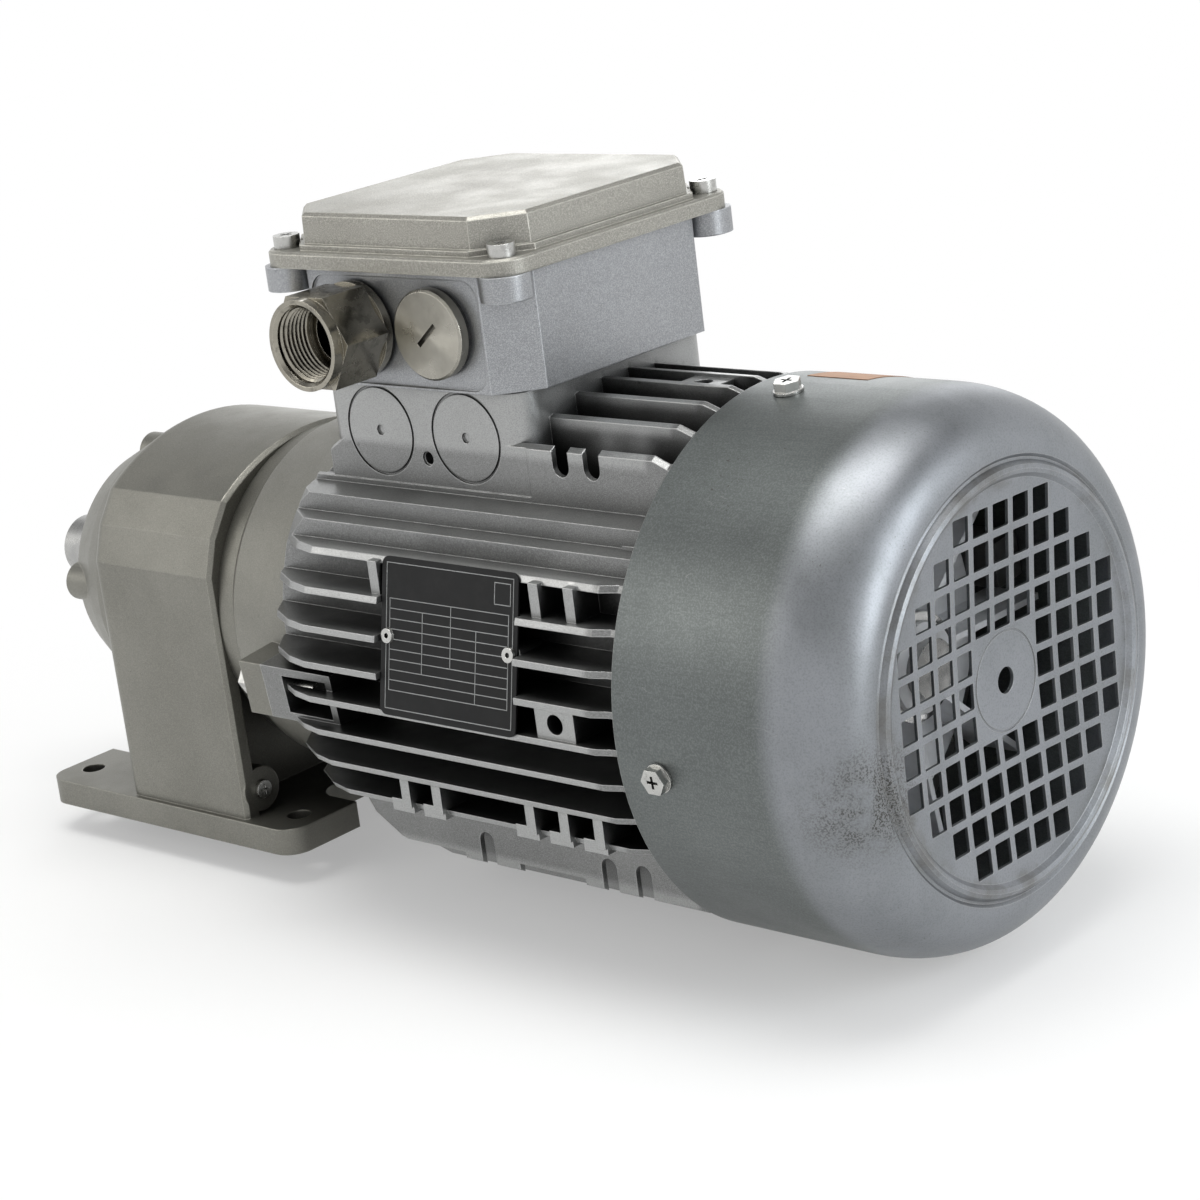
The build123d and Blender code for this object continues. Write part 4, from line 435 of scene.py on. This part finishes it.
def stand_camera():
    """Camera turned by its azimuth, elevation and roll, at its place."""
    back = Vector((math.sin(AZIMUTH) * math.cos(ELEVATION), -math.cos(AZIMUTH) * math.cos(ELEVATION),
                   math.sin(ELEVATION)))
    level_right = (-back).cross(Vector((0, 0, 1))).normalized()
    level_up = back.cross(level_right)
    right = math.cos(ROLL) * level_right + math.sin(ROLL) * level_up
    up = -math.sin(ROLL) * level_right + math.cos(ROLL) * level_up
    data = bpy.data.cameras.new("camera")
    data.sensor_width = SENSOR_WIDTH
    data.lens = FOCAL_PIXELS / PHOTO_SIDE * SENSOR_WIDTH
    data.shift_x, data.shift_y = SHIFT_X, SHIFT_Y
    data.clip_start, data.clip_end = CLIP_START, CLIP_END
    camera = bpy.data.objects.new("camera", data)
    bpy.context.collection.objects.link(camera)
    stance = Matrix((right, up, back)).transposed().to_4x4()
    stance.translation = CAMERA_PLACE
    camera.matrix_world = stance
    bpy.context.scene.camera = camera


stand_camera()


# Floor, background and light
AMBIENT_TINT, AMBIENT_STRENGTH = (0.97, 0.985, 1.0, 1), 0.42
# The white backdrop darkens overhead, between these heights of a ray's direction
CEILING_START, CEILING_END, CEILING_TONE = 0.45, 0.75, 0.18
FLOOR_HALF, FLOOR_GAP = 12, 0.0002
# The floor shows its own shade under the object, and turns to the white backdrop round it
FADE_START, FADE_END, WHITE_UNDER = 0.16, 0.46, 0.35


def show_white(tree, surface, amount=None, colour=None):
    """Camera, mirror and glass rays see the white backdrop, by the amount, and other rays the surface."""
    nodes, links = tree.nodes, tree.links

    def combine(operation, first, second):
        node = nodes.new("ShaderNodeMath")
        node.operation = operation
        links.new(first, node.inputs[0])
        links.new(second, node.inputs[1])
        return node.outputs[0]

    path = nodes.new("ShaderNodeLightPath")
    seen = path.outputs["Is Camera Ray"]
    for name in ("Is Glossy Ray", "Is Transmission Ray"):
        seen = combine("MAXIMUM", seen, path.outputs[name])
    if amount:
        seen = combine("MULTIPLY", seen, amount)
    plain = nodes.new("ShaderNodeBackground" if surface.type == "BACKGROUND" else "ShaderNodeEmission")
    plain.inputs["Color"].default_value = (1, 1, 1, 1)
    plain.inputs["Strength"].default_value = 1
    if colour:
        links.new(colour, plain.inputs["Color"])
    mix = nodes.new("ShaderNodeMixShader")
    links.new(seen, mix.inputs[0])
    links.new(surface.outputs[0], mix.inputs[1])
    links.new(plain.outputs[0], mix.inputs[2])
    return mix.outputs[0]


def light_world():
    """Soft even light from all round, with the white backdrop in view."""
    world = bpy.data.worlds.new("studio")
    bpy.context.scene.world = world
    world.use_nodes = True
    sky = world.node_tree
    ambient = sky.nodes["Background"]
    ambient.inputs["Color"].default_value = AMBIENT_TINT
    ambient.inputs["Strength"].default_value = AMBIENT_STRENGTH
    aim = sky.nodes.new("ShaderNodeSeparateXYZ")
    sky.links.new(sky.nodes.new("ShaderNodeTexCoord").outputs["Generated"], aim.inputs["Vector"])
    ceiling = sky.nodes.new("ShaderNodeMapRange")
    ceiling.interpolation_type = "SMOOTHSTEP"
    for name, value in (("From Min", CEILING_START), ("From Max", CEILING_END), ("To Min", 1.0),
                        ("To Max", CEILING_TONE)):
        ceiling.inputs[name].default_value = value
    sky.links.new(aim.outputs["Z"], ceiling.inputs["Value"])
    white_round = show_white(sky, ambient, colour=ceiling.outputs["Result"])
    sky.links.new(white_round, sky.nodes["World Output"].inputs["Surface"])


def lay_floor():
    """Pale floor at the object's lowest point."""
    mesh = bpy.data.meshes.new("floor")
    mesh.from_pydata([(x, y, 0) for x, y in ((-1, -1), (1, -1), (1, 1), (-1, 1))], [], [(0, 1, 2, 3)])
    mesh.transform(Matrix.Scale(FLOOR_HALF, 4))
    floor = bpy.data.objects.new("floor", mesh)
    bpy.context.collection.objects.link(floor)
    floor.location.z = cad_low.z - FLOOR_GAP
    g = Graph("pale_floor", (0.90, 0.90, 0.895), 0.0, 0.9)
    g.shader.inputs["Specular IOR Level"].default_value = 0.1
    g.finish(g.blend(g.noise(3, 2), (0.91, 0.91, 0.905), (0.89, 0.89, 0.885)))
    under = g.near((middle.x, middle.y, 0), FADE_START, FADE_END)
    white = g.maths("SUBTRACT", 1.0, g.product(under, 1.0 - WHITE_UNDER))
    surface = show_white(g.material.node_tree, g.shader, white)
    g.links.new(surface, g.nodes["Material Output"].inputs["Surface"])
    mesh.materials.append(g.material)


def softbox(name, place, width, height, power, tint):
    """Rectangular lamp that faces the middle of the object."""
    data = bpy.data.lights.new(name, "AREA")
    data.shape = "RECTANGLE"
    data.size, data.size_y = width, height
    data.energy, data.color = power, tint
    lamp = bpy.data.objects.new(name, data)
    bpy.context.collection.objects.link(lamp)
    lamp.location = place
    lamp.rotation_euler = (Vector(place) - middle).to_track_quat("Z", "Y").to_euler()


light_world()
lay_floor()
softbox("overhead", (0.20, -0.10, 1.30), 1.1, 0.6, 12, (1.0, 0.995, 0.98))
softbox("left_warm", (-0.75, -1.15, 0.80), 0.9, 0.7, 3.5, (1.0, 0.975, 0.93))
softbox("right_cool", (1.50, 0.15, 0.50), 0.6, 0.8, 8.5, (0.93, 0.97, 1.0))
softbox("rear_fill", (-0.70, 1.35, 0.70), 0.9, 0.7, 4, (0.98, 0.99, 1.0))
bpy.context.scene.view_settings.view_transform = "Standard"


# Added pieces
def add_mesh(name, shape, material):
    """Object of a finished bmesh with flat faces, riding with the motor's fixed parts."""
    bmesh.ops.recalc_face_normals(shape, faces=shape.faces)
    mesh = bpy.data.meshes.new(name)
    shape.to_mesh(mesh)
    shape.free()
    mesh.materials.append(material)
    piece = bpy.data.objects.new(name, mesh)
    bpy.context.collection.objects.link(piece)
    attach(piece, "motor")


def adapter_thread():
    """Thread inside the conduit adapter: a ridge that winds inwards from the mouth."""
    root_radius, crest_radius = 0.0129, 0.0119
    pitch, turns, steps_per_turn = 0.0018, 7.5, 48
    # Half the ridge's width at its root and crest, in pitches
    root_half, crest_half = 0.44, 0.07
    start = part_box("conduit_adapter")[0].y + 0.0022
    last_step = int(turns * steps_per_turn)
    # The ridge rises from the bore and sinks back into it over this many steps
    end_steps = 30
    ridge = bmesh.new()
    rings = []
    for step in range(last_step + 1):
        angle = 2 * math.pi * step / steps_per_turn
        depth = start + pitch * step / steps_per_turn
        rise = min(1.0, step / end_steps, (last_step - step) / end_steps)
        top = root_radius - (root_radius - crest_radius) * rise
        section = ((root_radius, -root_half), (top, -crest_half), (top, crest_half),
                   (root_radius, root_half))
        rings.append([ridge.verts.new((ADAPTER_MIDDLE.x + radius * math.cos(angle), depth + aside * pitch,
                                       ADAPTER_MIDDLE.z + radius * math.sin(angle)))
                      for radius, aside in section])
    for first, second in zip(rings, rings[1:]):
        for place in range(4):
            after = (place + 1) % 4
            ridge.faces.new((first[place], first[after], second[after], second[place]))
    ridge.faces.new(rings[0])
    ridge.faces.new(reversed(rings[-1]))
    add_mesh("adapter_thread", ridge, nickel_plate)


# The nameplate's size and slope, and the edge kept bare round its border line
PLATE_LENGTH, PLATE_HEIGHT, PLATE_THICKNESS = 0.0620, 0.0530, 0.0008
PLATE_TILT = math.radians(12.5)
BORDER_INSET = 0.0022


def nameplate_table():
    """Plain ruled table on the nameplate: border, rows, columns and an empty square field."""
    along = Vector((1, 0, 0))
    outward = Vector((0, -math.cos(PLATE_TILT), math.sin(PLATE_TILT)))
    rise = outward.cross(along)
    face = box_middle("nameplate") + outward * PLATE_THICKNESS / 2
    proud, line = 0.00005, 0.00028
    ink = bmesh.new()

    def strip(left, bottom, width, height):
        """Thin block that straddles the plate's face, placed from the middle of the plate."""
        corners = []
        for lift in (-proud, proud):
            corners += [ink.verts.new(face + along * u + rise * v + outward * lift)
                        for u, v in ((left, bottom), (left + width, bottom),
                                     (left + width, bottom + height), (left, bottom + height))]
        for quad in ((0, 1, 2, 3), (7, 6, 5, 4), (0, 4, 5, 1), (1, 5, 6, 2), (2, 6, 7, 3), (3, 7, 4, 0)):
            ink.faces.new([corners[place] for place in quad])

    def outline(left, bottom, width, height):
        for v in (bottom, bottom + height):
            strip(left, v, width + line, line)
        for u in (left, left + width):
            strip(u, bottom, line, height)

    half_length, half_height = PLATE_LENGTH / 2 - BORDER_INSET, PLATE_HEIGHT / 2 - BORDER_INSET
    outline(-half_length, -half_height, 2 * half_length, 2 * half_height)
    field_left, field_bottom, field_side = 0.0205, 0.0155, 0.0070
    outline(field_left, field_bottom, field_side, field_side)
    table_left, table_width, table_top = -0.0272, 0.0544, 0.0125
    rows, row_height = 9, 0.0034
    for row in range(rows + 1):
        strip(table_left, table_top - row * row_height, table_width, line)
    # Each column line's place, and the rows that it starts and ends at
    for u, first, last in ((table_left, 0, rows), (-0.0120, 1, 7), (0.0010, 0, 6), (0.0125, 2, rows),
                           (0.0269, 0, rows)):
        strip(u, table_top - last * row_height, line, (last - first) * row_height)
    add_mesh("nameplate_table", ink, plate_print)


adapter_thread()
nameplate_table()
